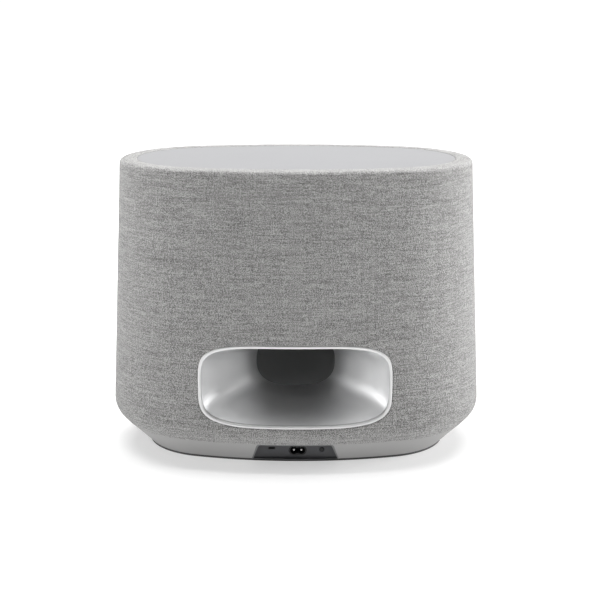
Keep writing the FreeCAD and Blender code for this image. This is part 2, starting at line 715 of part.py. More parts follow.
# ---------------------------------------------------------------- connections
tray_reach = dim.base_lip_inset + dim.tray_lip
tray_envelope = ring("tray_envelope", [
    (dim.base_top_inset, dim.hem_height), (base_inset(dim.tray_floor), dim.tray_floor),
    (tray_reach, dim.tray_floor), (tray_reach, dim.hem_height)])
tray_shell = common("tray_shell", tray_block, tray_envelope)


def socket_form(label, half_pitch, radius, waist, near, far):
    """Two round ends joined by a waist, as a mains socket is shaped, along Y."""
    parts = [rod(label + "_end", radius, far - near, dim.inlet_offset + side * half_pitch, near,
                 dim.inlet_height, BACKWARD) for side in (-1, 1)]
    parts.append(box(label + "_waist",
                     (dim.inlet_offset - half_pitch, near, dim.inlet_height - waist / 2),
                     (dim.inlet_offset + half_pitch, far, dim.inlet_height + waist / 2)))
    return fuse(label, *parts)


inlet_back = dim.tray_face - dim.inlet_length
inlet_outer = (dim.inlet_width - dim.inlet_tall) / 2
socket_half = dim.socket_pitch / 2
inlet_block = socket_form("inlet_block", inlet_outer, dim.inlet_tall / 2, dim.inlet_tall,
                          inlet_back, dim.tray_face)
service_low = (dim.service_offset - dim.service_width / 2, dim.tray_face - dim.service_length,
               dim.service_height - dim.service_tall / 2)
service_high = (dim.service_offset + dim.service_width / 2, dim.tray_face,
                dim.service_height + dim.service_tall / 2)
service_block = box("service_block", service_low, service_high)
button_hole = rod("button_hole", dim.button_radius + dim.button_gap, dim.tray_wall + 2,
                  dim.button_offset, dim.tray_back - 1, dim.button_height, BACKWARD)
node("connector_panel", cut("connector_panel", tray_shell, tray_hollow, inlet_block,
                            service_block, button_hole))

pins = [rod("pin", dim.pin_radius, dim.tray_face - dim.pin_tip - dim.io_board_face,
            dim.inlet_offset + side * dim.pin_pitch / 2, dim.io_board_face, dim.inlet_height,
            BACKWARD) for side in (-1, 1)]
socket_hollow = socket_form("socket_hollow", socket_half, dim.socket_radius, dim.socket_waist,
                            dim.tray_face - dim.socket_depth, dim.tray_face)
node("mains_inlet", cut("mains_inlet", inlet_block, socket_hollow, *pins))
node("inlet_pins", group("inlet_pins", *pins))

service_hollow = box(
    "service_hollow",
    (service_low[0] + dim.service_wall, service_low[1] + 1, service_low[2] + dim.service_wall),
    (service_high[0] - dim.service_wall, service_high[1], service_high[2] - dim.service_wall))
node("service_socket", cut("service_socket", service_block, service_hollow))

# The button's axis is its own Z, pointing out of the back; 0 is its inner end.
collar_start = (dim.tray_back - dim.button_gap - 1.5
                - (dim.tray_face + dim.button_proud - dim.button_length))
button = turned_body("pairing_button", [
    (0, 0), (dim.button_radius - 0.5, 0), (dim.button_radius - 0.5, collar_start),
    (dim.button_collar, collar_start), (dim.button_collar, collar_start + 1.5),
    (dim.button_radius, collar_start + 1.5), (dim.button_radius, dim.button_length - 0.4),
    (dim.button_radius - 0.4, dim.button_length), (0, dim.button_length)])
button_back = dim.tray_face + dim.button_proud - dim.button_length
node("pairing_button", put(button, dim.button_offset, button_back, dim.button_height, BACKWARD))

plunger_end = button_back - dim.button_travel - dim.button_gap
switch_face = dim.io_board_face + dim.switch_body
node("pairing_switch", fuse(
    "pairing_switch",
    box("switch_case",
        (dim.button_offset - dim.switch_size / 2, dim.io_board_face,
         dim.button_height - dim.switch_size / 2 + 0.4),
        (dim.button_offset + dim.switch_size / 2, switch_face,
         dim.button_height + dim.switch_size / 2)),
    rod("switch_plunger", dim.plunger_radius, plunger_end - switch_face, dim.button_offset,
        switch_face, dim.button_height, BACKWARD)))

node("io_board", box("io_board", (-dim.io_board_half_width,
                                  dim.io_board_face - dim.board_thickness, plate_top),
                     (dim.io_board_half_width, dim.io_board_face, dim.io_board_top)))

# ---------------------------------------------------------------- cabinet
inner_depth = dim.cabinet_depth + dim.cabinet_wall
cabinet_wall = skin_ring("cabinet_wall", dim.cabinet_depth, inner_depth,
                         low=dim.cabinet_floor, high=dim.cabinet_roof)
cabinet_shell = fuse(
    "cabinet_shell", cabinet_wall,
    oval_plate("cabinet_base", dim.cabinet_floor_inset, dim.cabinet_floor, dim.cabinet_wall),
    oval_plate("cabinet_lid", dim.cabinet_plate_inset, dim.cabinet_roof - dim.cabinet_wall,
               dim.cabinet_wall))

FAR = 400                               # longer than the speaker, for cutters
front_cut = box("front_cut", (-FAR, -FAR, -FAR), (FAR, dim.cabinet_front, FAR))
boss_spots = [(across * dim.boss_spacing, height) for across in (-1, 0, 1)
              for height in (dim.cabinet_floor + dim.boss_edge,
                             dim.cabinet_roof - dim.boss_edge)]
bosses = [rod("screw_boss", dim.boss_radius, dim.boss_depth, x, dim.cabinet_front, z, BACKWARD)
          for x, z in boss_spots]
case_posts = [rod("case_post", dim.boss_radius, dim.cabinet_floor - plate_top + 1, x, y,
                  plate_top) for x, y in base_posts]

screw_reach = dim.case_screw_length
boss_bores = [rod("boss_bore", dim.case_screw, screw_reach, x, dim.baffle_front, z, BACKWARD)
              for x, z in boss_spots]
post_bores = [rod("post_bore", dim.case_screw, screw_reach, x, y, dim.base_lip_height)
              for x, y in base_posts]
roof_bores = [rod("roof_bore", dim.case_screw, dim.cabinet_wall, x, y,
                  dim.cabinet_roof - dim.cabinet_wall) for x, y in deck_posts]
wire_bores = [rod("wire_bore", dim.wire_radius, dim.cabinet_wall, side * dim.wire_offset,
                  dim.wire_depth, dim.cabinet_floor) for side in (-1, 1)]
cabinet_bores = group("cabinet_bores", *boss_bores, *post_bores, *roof_bores, *wire_bores,
                      cabinet_hole)
node("rear_cabinet", cut("rear_cabinet",
                         fuse("cabinet_blank", cut("cabinet_open", cabinet_shell, front_cut),
                              *bosses, *case_posts), cabinet_bores))

gasket_bores = group("gasket_bores", *boss_bores)
gasket_slab = box("gasket_slab", (-FAR, dim.baffle_back, 0), (FAR, dim.cabinet_front, FAR))
gasket_eyes = [rod("gasket_eye", dim.boss_radius, dim.gasket_thickness, x, dim.baffle_back, z,
                   BACKWARD) for x, z in boss_spots]
node("baffle_gasket", cut("baffle_gasket",
                          fuse("gasket_blank", common("gasket_rim", cabinet_shell, gasket_slab),
                               *gasket_eyes), gasket_bores))

baffle_skin = ring("baffle_skin", [
    (wall_inset(dim.cabinet_depth, dim.cabinet_roof), dim.cabinet_roof),
    (dim.widest_rounding, dim.widest_height, dim.cabinet_depth - dim.widest_rounding),
    (chamfer_inset(dim.cabinet_depth, dim.cabinet_floor), dim.cabinet_floor),
    (dim.baffle_reach, dim.cabinet_floor), (dim.baffle_reach, dim.cabinet_roof)])
baffle_block = common(
    "baffle_block", baffle_skin,
    box("baffle_slab", (-FAR, dim.baffle_front, 0), (FAR, dim.baffle_back, FAR)))

# Screw circles of the drivers: (x, z, radius of the circle, number, first angle)
screw_circles = []
for side in SIDES.values():
    screw_circles.append((side * dim.woofer_offset, dim.woofer_height, dim.woofer_bolt_circle,
                          4, 45))
    screw_circles.append((side * dim.tweeter_offset, dim.tweeter_height,
                          dim.tweeter_bolt_circle, 3, 90))


def driver_screw_spots():
    for x, z, circle, count, first in screw_circles:
        for index in range(count):
            angle = as_size(first + index * 360 / count)
            yield x + circle * cosine(angle), z + circle * sine(angle)


driver_holes = []
for side in SIDES.values():
    for offset, height, radius in (
            (dim.woofer_offset, dim.woofer_height, dim.woofer_hole),
            (dim.tweeter_offset, dim.tweeter_height, dim.tweeter_hole)):
        driver_holes.append(rod("driver_hole", radius, dim.baffle_back - dim.baffle_front,
                                side * offset, dim.baffle_front, height, BACKWARD))
pilot_depth = dim.driver_screw_length - dim.basket_flange
pilot_holes = [rod("pilot_hole", dim.driver_screw, pilot_depth, x, dim.baffle_front, z, BACKWARD)
               for x, z in driver_screw_spots()]
node("front_baffle", cut("front_baffle", baffle_block,
                         group("baffle_openings", *driver_holes, *pilot_holes, *boss_bores)))

wool_pads = []
for side in SIDES.values():
    low, high = ((side * dim.wool_near, side * dim.wool_far) if side > 0
                 else (side * dim.wool_far, side * dim.wool_near))
    wool_pads.append(box("wool_pad", (low, dim.wool_front, dim.wool_bottom),
                         (high, dim.wool_back, dim.cabinet_roof - dim.cabinet_wall)))
node("wadding", group("wadding", *wool_pads))


# ---------------------------------------------------------------- woofers
def woofer_pieces():
    """Label and body of each piece of one woofer, on its own Z axis."""
    plate_face = -dim.basket_length
    magnet_face = plate_face - dim.plate_length
    magnet_back = magnet_face - dim.magnet_length

    basket = turned_body("basket", [
        (dim.basket_mouth, 0), (dim.basket_radius, 0), (dim.basket_radius, dim.basket_flange),
        (dim.basket_mouth - dim.basket_wall, dim.basket_flange),
        (dim.basket_seat - dim.basket_wall, plate_face + dim.basket_wall),
        (dim.basket_bore, plate_face + dim.basket_wall), (dim.basket_bore, plate_face),
        (dim.basket_seat, plate_face)])
    holes = sketch_on(basket, "XY_Plane")
    diagonal = dim.woofer_bolt_circle * cosine(as_size(45))
    draw_circle(holes, diagonal, diagonal, dim.driver_screw + dim.screw_gap)
    bore(basket, holes, dim.basket_flange, 4)
    windows = draw(sketch_on(basket, "XY_Plane", plate_face), [
        (38, -8), (50, -8), (50, 8), (38, 8)])
    yield "basket", bore(basket, windows, dim.basket_length, 6)

    edge, neck, paper = dim.cone_edge, dim.cone_neck, dim.paper
    yield "cone", turned_body("cone", [
        (dim.coil_radius, neck), (dim.cone_radius, edge - paper), (dim.cone_radius, edge),
        (dim.coil_radius, neck + paper)])

    slope = (edge - paper - neck) / (dim.cone_radius - dim.coil_radius)
    rest = neck + paper + (dim.cap_radius - dim.coil_radius) * slope
    ball = (dim.cap_radius * dim.cap_radius + dim.cap_rise * dim.cap_rise) / (2 * dim.cap_rise)
    yield "dust_cap", dome_body("dust_cap", dim.cap_radius, rest, ball, paper)

    yield "voice_coil", turned_body("voice_coil", [
        (dim.coil_radius - dim.coil_wall, dim.coil_back), (dim.coil_radius, dim.coil_back),
        (dim.coil_radius, dim.coil_front), (dim.coil_radius - dim.coil_wall, dim.coil_front)])

    sheet_top = dim.basket_flange + dim.surround_sheet
    roll = (dim.basket_mouth - dim.basket_wall - dim.cone_radius) / 2
    roll_centre = dim.cone_radius + roll
    roll_lift = 1                       # the roll's centre stands above the flat edges
    yield "surround", turned_body("surround", [
        (dim.surround_inner, dim.basket_flange), (dim.surround_inner, sheet_top),
        (dim.cone_radius, sheet_top), (roll_centre, sheet_top + roll_lift, roll_lift - roll),
        (dim.basket_mouth - dim.basket_wall, sheet_top), (dim.surround_outer, sheet_top),
        (dim.surround_outer, dim.basket_flange),
        (roll_centre + roll - dim.surround_sheet, dim.basket_flange),
        (roll_centre, dim.basket_flange + roll_lift, roll - roll_lift - dim.surround_sheet),
        (roll_centre - roll + dim.surround_sheet, dim.basket_flange)])

    waves = 7
    inner = dim.coil_radius + 0.3
    pitch = (dim.spider_radius - inner) / waves
    zigzag = [(inner + pitch * index,
               dim.spider_height + dim.spider_wave * (index % 2)) for index in range(waves + 1)]
    yield "spider", turned_body("spider", zigzag + [
        (x, z + dim.surround_sheet) for x, z in reversed(zigzag)])

    yield "magnet", turned_body("magnet", [
        (dim.basket_bore, plate_face), (dim.basket_bore, magnet_face),
        (dim.magnet_bore, magnet_face), (dim.magnet_bore, magnet_back),
        (dim.magnet_radius, magnet_back), (dim.magnet_radius, magnet_face),
        (dim.plate_radius, magnet_face), (dim.plate_radius, plate_face)])

    yield "yoke", turned_body("yoke", [
        (0, magnet_back - dim.yoke_plate), (dim.yoke_radius, magnet_back - dim.yoke_plate),
        (dim.yoke_radius, magnet_back), (dim.pole_radius, magnet_back),
        (dim.pole_radius, plate_face + 1), (0, plate_face + 1)])


def dome_body(label, radius, foot, ball, skin):
    """A thin spherical cap that stands on a circle at a height."""
    body = add("PartDesign::Body", label)
    sketch = sketch_on(body, "XZ_Plane")
    rise = ball.number - math.sqrt(ball.number ** 2 - radius.number ** 2)
    crown = foot.number + rise
    arcs, tips = [], []
    for shell in (0, skin.number):
        reach = ball.number - shell
        centre = FreeCAD.Vector(0, crown - ball.number, 0)
        rim = math.asin((foot.number - centre.y) / reach)
        arcs.append(sketch.addGeometry(Part.ArcOfCircle(
            Part.Circle(centre, Z, reach), rim, math.pi / 2)))
        tips.append((centre + FreeCAD.Vector(reach * math.cos(rim), reach * math.sin(rim), 0),
                     centre + FreeCAD.Vector(0, reach, 0)))
    foot_line = sketch.addGeometry(Part.LineSegment(tips[0][0], tips[1][0]))
    crown_line = sketch.addGeometry(Part.LineSegment(tips[1][1], tips[0][1]))
    for rule in (("Coincident", arcs[0], 1, foot_line, 1), ("Horizontal", foot_line),
                 ("Coincident", arcs[1], 1, foot_line, 2), ("Coincident", arcs[0], 3, arcs[1], 3),
                 ("Coincident", arcs[1], 2, crown_line, 1),
                 ("Coincident", arcs[0], 2, crown_line, 2), ("PointOnObject", arcs[0], 3, -2),
                 ("PointOnObject", crown_line, 1, -2), ("PointOnObject", crown_line, 2, -2)):
        sketch.addConstraint(Sketcher.Constraint(*rule))
    dimension(sketch, ("Radius", arcs[0]), ball)
    dimension(sketch, ("Radius", arcs[1]), ball - skin)
    fix(sketch, foot_line, 1, (radius, foot))
    feature = add_feature(body, "Revolution", sketch)
    feature.ReferenceAxis = (sketch, ["V_Axis"])
    feature.Angle = 360
    return body


for name, side in SIDES.items():
    for piece, body in woofer_pieces():
        node("woofer_%s_%s" % (name, piece),
             put(body, side * dim.woofer_offset, dim.baffle_front, dim.woofer_height, FORWARD))


# ---------------------------------------------------------------- tweeters
def tweeter_pieces():
    """Label and body of each piece of one tweeter, on its own Z axis."""
    faceplate = turned_body("faceplate", [
        (dim.tweeter_bore, 0), (dim.tweeter_radius, 0),
        (dim.tweeter_radius, dim.tweeter_flange), (dim.tweeter_mouth, dim.tweeter_flange)])
    holes = sketch_on(faceplate, "XY_Plane")
    draw_circle(holes, 0, dim.tweeter_bolt_circle, dim.driver_screw + dim.screw_gap)
    yield "faceplate", bore(faceplate, holes, dim.tweeter_flange, 3)

    ball = ((dim.dome_radius * dim.dome_radius + dim.dome_rise * dim.dome_rise)
            / (2 * dim.dome_rise))
    yield "dome", dome_body("dome", dim.dome_radius, dim.dome_edge, ball, dim.dome_sheet)

    yield "motor", turned_body("motor", [
        (0, -dim.tweeter_motor_length), (dim.tweeter_motor_radius - 2, -dim.tweeter_motor_length),
        (dim.tweeter_motor_radius, -dim.tweeter_motor_length + 2),
        (dim.tweeter_motor_radius, 0), (dim.tweeter_bore, 0),
        (dim.tweeter_bore, -dim.tweeter_motor_gap), (0, -dim.tweeter_motor_gap)])


for name, side in SIDES.items():
    for piece, body in tweeter_pieces():
        node("tweeter_%s_%s" % (name, piece),
             put(body, side * dim.tweeter_offset, dim.baffle_front, dim.tweeter_height, FORWARD))

# ---------------------------------------------------------------- electronics
board_top = dim.board_floor + dim.board_thickness


def part_on_board(label, x, y, length, width, tall):
    """A square-cornered part that stands on a board, centred at x, y."""
    return box(label, (x - length / 2, y - width / 2, board_top),
               (x + length / 2, y + width / 2, board_top + tall))


node("control_board", box("control_board", (-dim.board_far, -dim.board_half_depth,
                                            dim.board_floor),
                          (-dim.board_near, dim.board_half_depth, board_top)))
board_middle = (dim.board_near + dim.board_far) / 2
CHIPS = ((-8, 12, 16, 16, 1.6), (16, 14, 12, 12, 1.2), (-8, -16, 14, 10, 1.2),
         (18, -10, 8, 8, 1), (14, -32, 10, 6, 2.4), (-20, 34, 12, 8, 3))
node("control_chips", group("control_chips", *[
    part_on_board("chip", -board_middle + x, y, length, width, tall)
    for x, y, length, width, tall in CHIPS]))

antenna_length, antenna_width, antenna_sheet = 36, 9, 0.8
node("antennas", group("antennas", *[
    box("antenna", (side * 118 - antenna_length / 2, -antenna_width / 2, deck_top),
        (side * 118 + antenna_length / 2, antenna_width / 2, deck_top + antenna_sheet))
    for side in (-1, 1)]))

node("amplifier_board", box("amplifier_board", (dim.board_near, -dim.board_half_depth,
                                                dim.board_floor),
                            (dim.board_far, dim.board_half_depth, board_top)))
fin_count, fin_pitch, fin_sheet, sink_base, sink_height = 8, 8, 2, 3, 16
sink_width = 50
sink_parts = [part_on_board("sink_base", board_middle, 0, (fin_count - 1) * fin_pitch
                            + fin_sheet, sink_width, sink_base)]
for index in range(fin_count):
    offset = (index - (fin_count - 1) / 2) * fin_pitch
    sink_parts.append(part_on_board("sink_fin", board_middle + offset, 0, fin_sheet, sink_width,
                                    sink_height))
node("amplifier_heatsink", fuse("amplifier_heatsink", *sink_parts))

node("power_board", box("power_board", (-dim.power_half_width, dim.power_front, dim.board_floor),
                        (dim.power_half_width, dim.power_back, board_top)))
power_parts = [part_on_board("transformer", -16, -26, 34, 30, 21),
               part_on_board("line_filter", 24, 10, 22, 20, 15),
               part_on_board("rectifier", -20, 12, 16, 6, 12)]
power_parts += [rod("capacitor", 8, 20, x, y, board_top) for x, y in ((22, -48), (22, -26))]
node("power_parts", group("power_parts", *power_parts))

touch_board = oval_plate("touch_board", dim.touch_inset, touch_floor, dim.board_thickness)
node("touch_board", touch_board)
node("microphones", group("microphones", *[
    box("microphone", (side * dim.mic_spacing - 2, face * dim.mic_spacing / 2 - 1.5,
                       touch_floor - 1.1),
        (side * dim.mic_spacing + 2, face * dim.mic_spacing / 2 + 1.5, touch_floor))
    for side in (-1, 1) for face in (-1, 1)]))

# ---------------------------------------------------------------- wires and screws
wire_radius, wire_bend = dim.wire_radius.number, dim.wire_bend.number
speaker_wires = []
for side in SIDES.values():
    across = side * dim.wire_offset.number
    low, high = board_top.number, dim.wire_height.number
    speaker_wires.append(wire_tube([
        FreeCAD.Vector(across, dim.wire_depth.number, low),
        FreeCAD.Vector(across, dim.wire_depth.number, high),
        FreeCAD.Vector(across, dim.wire_end.number, high)], wire_radius, wire_bend))
node("speaker_harness", solid("speaker_harness", Part.makeCompound(speaker_wires)))

mains_wires = []
for across in (-6, 2):
    inner = (dim.io_board_face - dim.board_thickness).number
    end_y = dim.power_back.number - 6
    mains_wires.append(wire_tube([
        FreeCAD.Vector(across, inner, 20), FreeCAD.Vector(across, end_y, 20),
        FreeCAD.Vector(across, end_y, board_top.number)], wire_radius, 6))
node("mains_harness", solid("mains_harness", Part.makeCompound(mains_wires)))


def screw(head_radius, radius, length):
    """A screw pointing down its own Z axis: the head's underside is at 0."""
    head = Part.makeCylinder(head_radius, dim.screw_head_height.number)
    slot_size = dim.screw_slot.number
    slot = Part.makeBox(2 * head_radius, slot_size, slot_size,
                        FreeCAD.Vector(-head_radius, -slot_size / 2,
                                       dim.screw_head_height.number - slot_size))
    shank = Part.makeCylinder(radius, length, FreeCAD.Vector(0, 0, -length))
    return head.cut(slot).fuse(shank).removeSplitter()


def screws(label, shape, spots, turn=None):
    copies = []
    for spot in spots:
        copy = shape.copy()
        copy.Placement = FreeCAD.Placement(FreeCAD.Vector(*spot), turn or FreeCAD.Rotation())
        copies.append(copy)
    return node(label, solid(label, Part.makeCompound(copies)))


driver_screw = screw(dim.driver_screw_head.number, dim.driver_screw.number,
                     dim.driver_screw_length.number)
case_screw = screw(dim.case_screw_head.number, dim.case_screw.number,
                   dim.case_screw_length.number)
flange_face = (dim.baffle_front - dim.basket_flange).number
screws("driver_screws", driver_screw,
       [(x.number, flange_face, z.number) for x, z in driver_screw_spots()], FORWARD)
screws("cabinet_screws", case_screw,
       [(x.number, dim.baffle_front.number, z.number) for x, z in boss_spots], FORWARD)
screws("base_screws", case_screw,
       [(x.number, as_size(y).number, dim.base_lip_height.number) for x, y in base_posts],
       FreeCAD.Rotation(X, 180))
deck_screw = screw(dim.case_screw_head.number, dim.case_screw.number,
                   (deck_top - dim.cabinet_roof + dim.cabinet_wall).number)
screws("deck_screws", deck_screw,
       [(x.number, as_size(y).number, deck_top.number) for x, y in deck_posts])

# ---------------------------------------------------------------- check and write
doc.recompute()
for thing in doc.Objects:
    if {"Invalid", "Error"} & set(thing.State):
        raise RuntimeError("%s failed: %s" % (thing.Label, thing.State))
for thing in NODES:
    if thing.Shape.isNull() or not thing.Shape.isValid():
        raise RuntimeError("%s has a bad shape" % thing.Label)

os.makedirs("parts", exist_ok=True)
for thing in NODES:
    thing.Shape.exportStep("parts/%s.step" % thing.Label)
print("wrote %d nodes" % len(NODES))
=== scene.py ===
"""Looks of the oval smart speaker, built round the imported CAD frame.

Metres, +Z up, front -Y, back +Y, as in the CAD. The cloth, bezel, flare and top panel are
meshes built here on the speaker's own oval, and the wool is the CAD pads made loose. The
other CAD nodes keep their shapes and get materials, with small edge bevels where they show.
"""
import json
import math

import bmesh
import bpy
import numpy as np
from mathutils import Euler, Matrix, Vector, noise


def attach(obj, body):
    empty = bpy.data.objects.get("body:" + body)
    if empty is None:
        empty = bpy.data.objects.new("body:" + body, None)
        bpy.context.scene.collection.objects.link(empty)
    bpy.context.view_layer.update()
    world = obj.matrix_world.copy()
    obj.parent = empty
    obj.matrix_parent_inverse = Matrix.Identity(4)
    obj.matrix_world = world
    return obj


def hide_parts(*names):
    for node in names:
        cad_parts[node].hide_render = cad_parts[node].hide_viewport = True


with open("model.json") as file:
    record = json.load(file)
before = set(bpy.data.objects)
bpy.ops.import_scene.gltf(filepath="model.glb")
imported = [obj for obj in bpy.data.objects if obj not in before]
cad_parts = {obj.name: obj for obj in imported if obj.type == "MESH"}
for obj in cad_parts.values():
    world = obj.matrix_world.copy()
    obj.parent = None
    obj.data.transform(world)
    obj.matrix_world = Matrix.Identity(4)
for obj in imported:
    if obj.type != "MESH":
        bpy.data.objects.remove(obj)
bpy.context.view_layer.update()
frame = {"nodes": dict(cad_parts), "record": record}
nodes = frame["nodes"]

# ------------------------------------------------------------------ sizes, as in the CAD
MM = 0.001

# The widest outline is an oval of four arcs.
HALF_WIDTH, HALF_DEPTH, END_RADIUS = 210 * MM, 130 * MM, 118 * MM
END_CENTRE = HALF_WIDTH - END_RADIUS
SIDE_CENTRE = ((END_CENTRE ** 2 + HALF_DEPTH ** 2 - END_RADIUS ** 2)
               / (2 * (HALF_DEPTH - END_RADIUS)) - HALF_DEPTH)
SIDE_RADIUS = SIDE_CENTRE + HALF_DEPTH
SIDE_HALF_ANGLE = math.atan2(END_CENTRE, SIDE_CENTRE)
SIDE_HALF_LENGTH = SIDE_RADIUS * SIDE_HALF_ANGLE
END_LENGTH = END_RADIUS * (math.pi - 2 * SIDE_HALF_ANGLE)
PERIMETER = 4 * SIDE_HALF_LENGTH + 2 * END_LENGTH
# Length, centre and radius of each arc, from the middle of the back towards +X.
ARCS = ((SIDE_HALF_LENGTH, (0, -SIDE_CENTRE), SIDE_RADIUS),
        (END_LENGTH, (END_CENTRE, 0), END_RADIUS),
        (2 * SIDE_HALF_LENGTH, (0, SIDE_CENTRE), SIDE_RADIUS),
        (END_LENGTH, (-END_CENTRE, 0), END_RADIUS),
        (SIDE_HALF_LENGTH, (0, -SIDE_CENTRE), SIDE_RADIUS))

# The skin's section: insets are measured inwards from the widest outline.
TOP, HEM = 326 * MM, 29.2 * MM
WIDEST_HEIGHT, WIDEST_ROUNDING = 52 * MM, 25 * MM
RIM_ROUNDING, RIM_INSET = 5.2 * MM, 33 * MM
WALL_LEAN, CHAMFER = math.radians(2.98), math.radians(43)
RIM_ROWS, RIM_ARC_ROWS, WALL_ROWS, WIDEST_ARC_ROWS, CHAMFER_ROWS = 6, 10, 60, 16, 6
COLUMNS = 480                           # points round the oval

PORT_HEIGHT, PORT_HALF_WIDTH, PORT_HALF_HEIGHT = 96.9 * MM, 104.3 * MM, 45.8 * MM
PORT_POWER, THROAT_POWER, BEZEL_WIDTH = 4.2, 2.6, 3.5 * MM
PORT_COLUMNS = 320                      # points round the port


def oval(travel):
    """Point and outward normal on the widest outline, travel metres round it from the
    middle of the back, towards +X."""
    travel %= PERIMETER
    heading = 0.0                       # angle of the normal, clockwise from +Y
    for length, (x, y), radius in ARCS:
        if travel <= length:
            break
        heading += length / radius
        travel -= length
    heading += travel / radius
    normal = (math.sin(heading), math.cos(heading))
    return (x + radius * normal[0], y + radius * normal[1]), normal


def wall_point(travel, inset, height):
    """A point on the oval moved inwards by an inset, at a height."""
    (x, y), (nx, ny) = oval(travel)
    return (x - inset * nx, y - inset * ny, height)


def oval_ring(inset, height):
    """A closed ring of points round the oval."""
    return [wall_point(PERIMETER * c / COLUMNS, inset, height) for c in range(COLUMNS)]


def skin_profile():
    """(inset, height) points down the skin: rim, its rounding, wall, rounding, chamfer."""
    def arc(inset, height, radius, first, last, count):
        steps = [first + (last - first) * i / count for i in range(count + 1)]
        return [(inset - radius * math.cos(a), height + radius * math.sin(a)) for a in steps]

    def run(start, end, count, steps):
        return [(start[0] + (end[0] - start[0]) * i / count,
                 start[1] + (end[1] - start[1]) * i / count) for i in steps]

    rim_height = TOP - RIM_ROUNDING
    rise = (rim_height - WIDEST_HEIGHT) * math.sin(WALL_LEAN)
    rim_inset = (WIDEST_ROUNDING - (WIDEST_ROUNDING - rise) / math.cos(WALL_LEAN)
                 + RIM_ROUNDING / math.cos(WALL_LEAN))
    drop = (WIDEST_HEIGHT - HEM) * math.sin(CHAMFER)
    hem_inset = WIDEST_ROUNDING - (WIDEST_ROUNDING - drop) / math.cos(CHAMFER)
    points = run((RIM_INSET, TOP), (rim_inset, TOP), RIM_ROWS, range(RIM_ROWS))
    points += arc(rim_inset, rim_height, RIM_ROUNDING, math.pi / 2, WALL_LEAN, RIM_ARC_ROWS)
    widest = arc(WIDEST_ROUNDING, WIDEST_HEIGHT, WIDEST_ROUNDING, WALL_LEAN, -CHAMFER,
                 WIDEST_ARC_ROWS)
    points += run(points[-1], widest[0], WALL_ROWS, range(1, WALL_ROWS))
    points += widest
    points += run(points[-1], (hem_inset, HEM), CHAMFER_ROWS, range(1, CHAMFER_ROWS + 1))
    return points


SKIN = skin_profile()


def skin_inset(height):
    """Inset of the wall at a height."""
    for (o0, z0), (o1, z1) in zip(SKIN, SKIN[1:]):
        if z0 >= height >= z1 and z0 > z1:
            return o0 + (o1 - o0) * (z0 - height) / (z0 - z1)
    return SKIN[-1][0]


def back_point(x, height, depth):
    """The point on the back that lies straight behind x, at a depth under the skin."""
    inset = skin_inset(height) + depth
    joint = (SIDE_RADIUS - inset) * math.sin(SIDE_HALF_ANGLE)
    if abs(x) <= joint:
        y = math.sqrt((SIDE_RADIUS - inset) ** 2 - x * x) - SIDE_CENTRE
    else:
        y = math.sqrt((END_RADIUS - inset) ** 2 - (abs(x) - END_CENTRE) ** 2)
    return (x, y, height)


def port_point(half_width, half_height, angle):
    """The point of the port's superellipse that lies in a direction from its middle."""
    across, up = math.cos(angle), math.sin(angle)
    reach = (abs(across) / half_width) ** PORT_POWER + (abs(up) / half_height) ** PORT_POWER
    reach **= -1 / PORT_POWER
    return reach * across, reach * up


def port_outline(shrink):
    """Points round the port's outline, drawn in by a distance."""
    return [port_point(PORT_HALF_WIDTH - shrink, PORT_HALF_HEIGHT - shrink,
                       2 * math.pi * step / PORT_COLUMNS) for step in range(PORT_COLUMNS)]


# ------------------------------------------------------------------ mesh helpers
def placed(name, data):
    """A new object in the scene."""
    thing = bpy.data.objects.new(name, data)
    bpy.context.scene.collection.objects.link(thing)
    return thing


def new_mesh(name, points, faces, uvs=None, smooth=True):
    """An object from points and faces; uvs holds one (u, v) per face corner."""
    mesh = bpy.data.meshes.new(name)
    mesh.from_pydata([tuple(point) for point in points], [], faces)
    mesh.validate()
    if smooth:
        mesh.polygons.foreach_set("use_smooth", [True] * len(mesh.polygons))
    if uvs is not None:
        layer = mesh.uv_layers.new(name="UVMap")
        layer.data.foreach_set("uv", np.array(uvs, dtype=np.float32).ravel())
    return placed(name, mesh)


def ring_grid(rings):
    """Points and quads of a grid whose rows are closed rings of equally many points."""
    count = len(rings[0])
    faces = []
    for row in range(len(rings) - 1):
        for column in range(count):
            after = (column + 1) % count
            faces.append((row * count + column, row * count + after,
                          (row + 1) * count + after, (row + 1) * count + column))
    return [point for ring in rings for point in ring], faces


def weld(thing):
    """Joins points that coincide and turns the faces outwards."""
    work = bmesh.new()
    work.from_mesh(thing.data)
    bmesh.ops.remove_doubles(work, verts=work.verts, dist=0.001 * MM)
    bmesh.ops.recalc_face_normals(work, faces=work.faces)
    work.to_mesh(thing.data)
    work.free()
    return thing


def bevel_edges(thing, width):
    """Small rounded edges on a CAD node."""
    bevel = thing.modifiers.new("edges", "BEVEL")
    bevel.width = width
    bevel.segments = 2
    bevel.limit_method = "ANGLE"
    bevel.angle_limit = math.radians(35)
    bevel.harden_normals = False


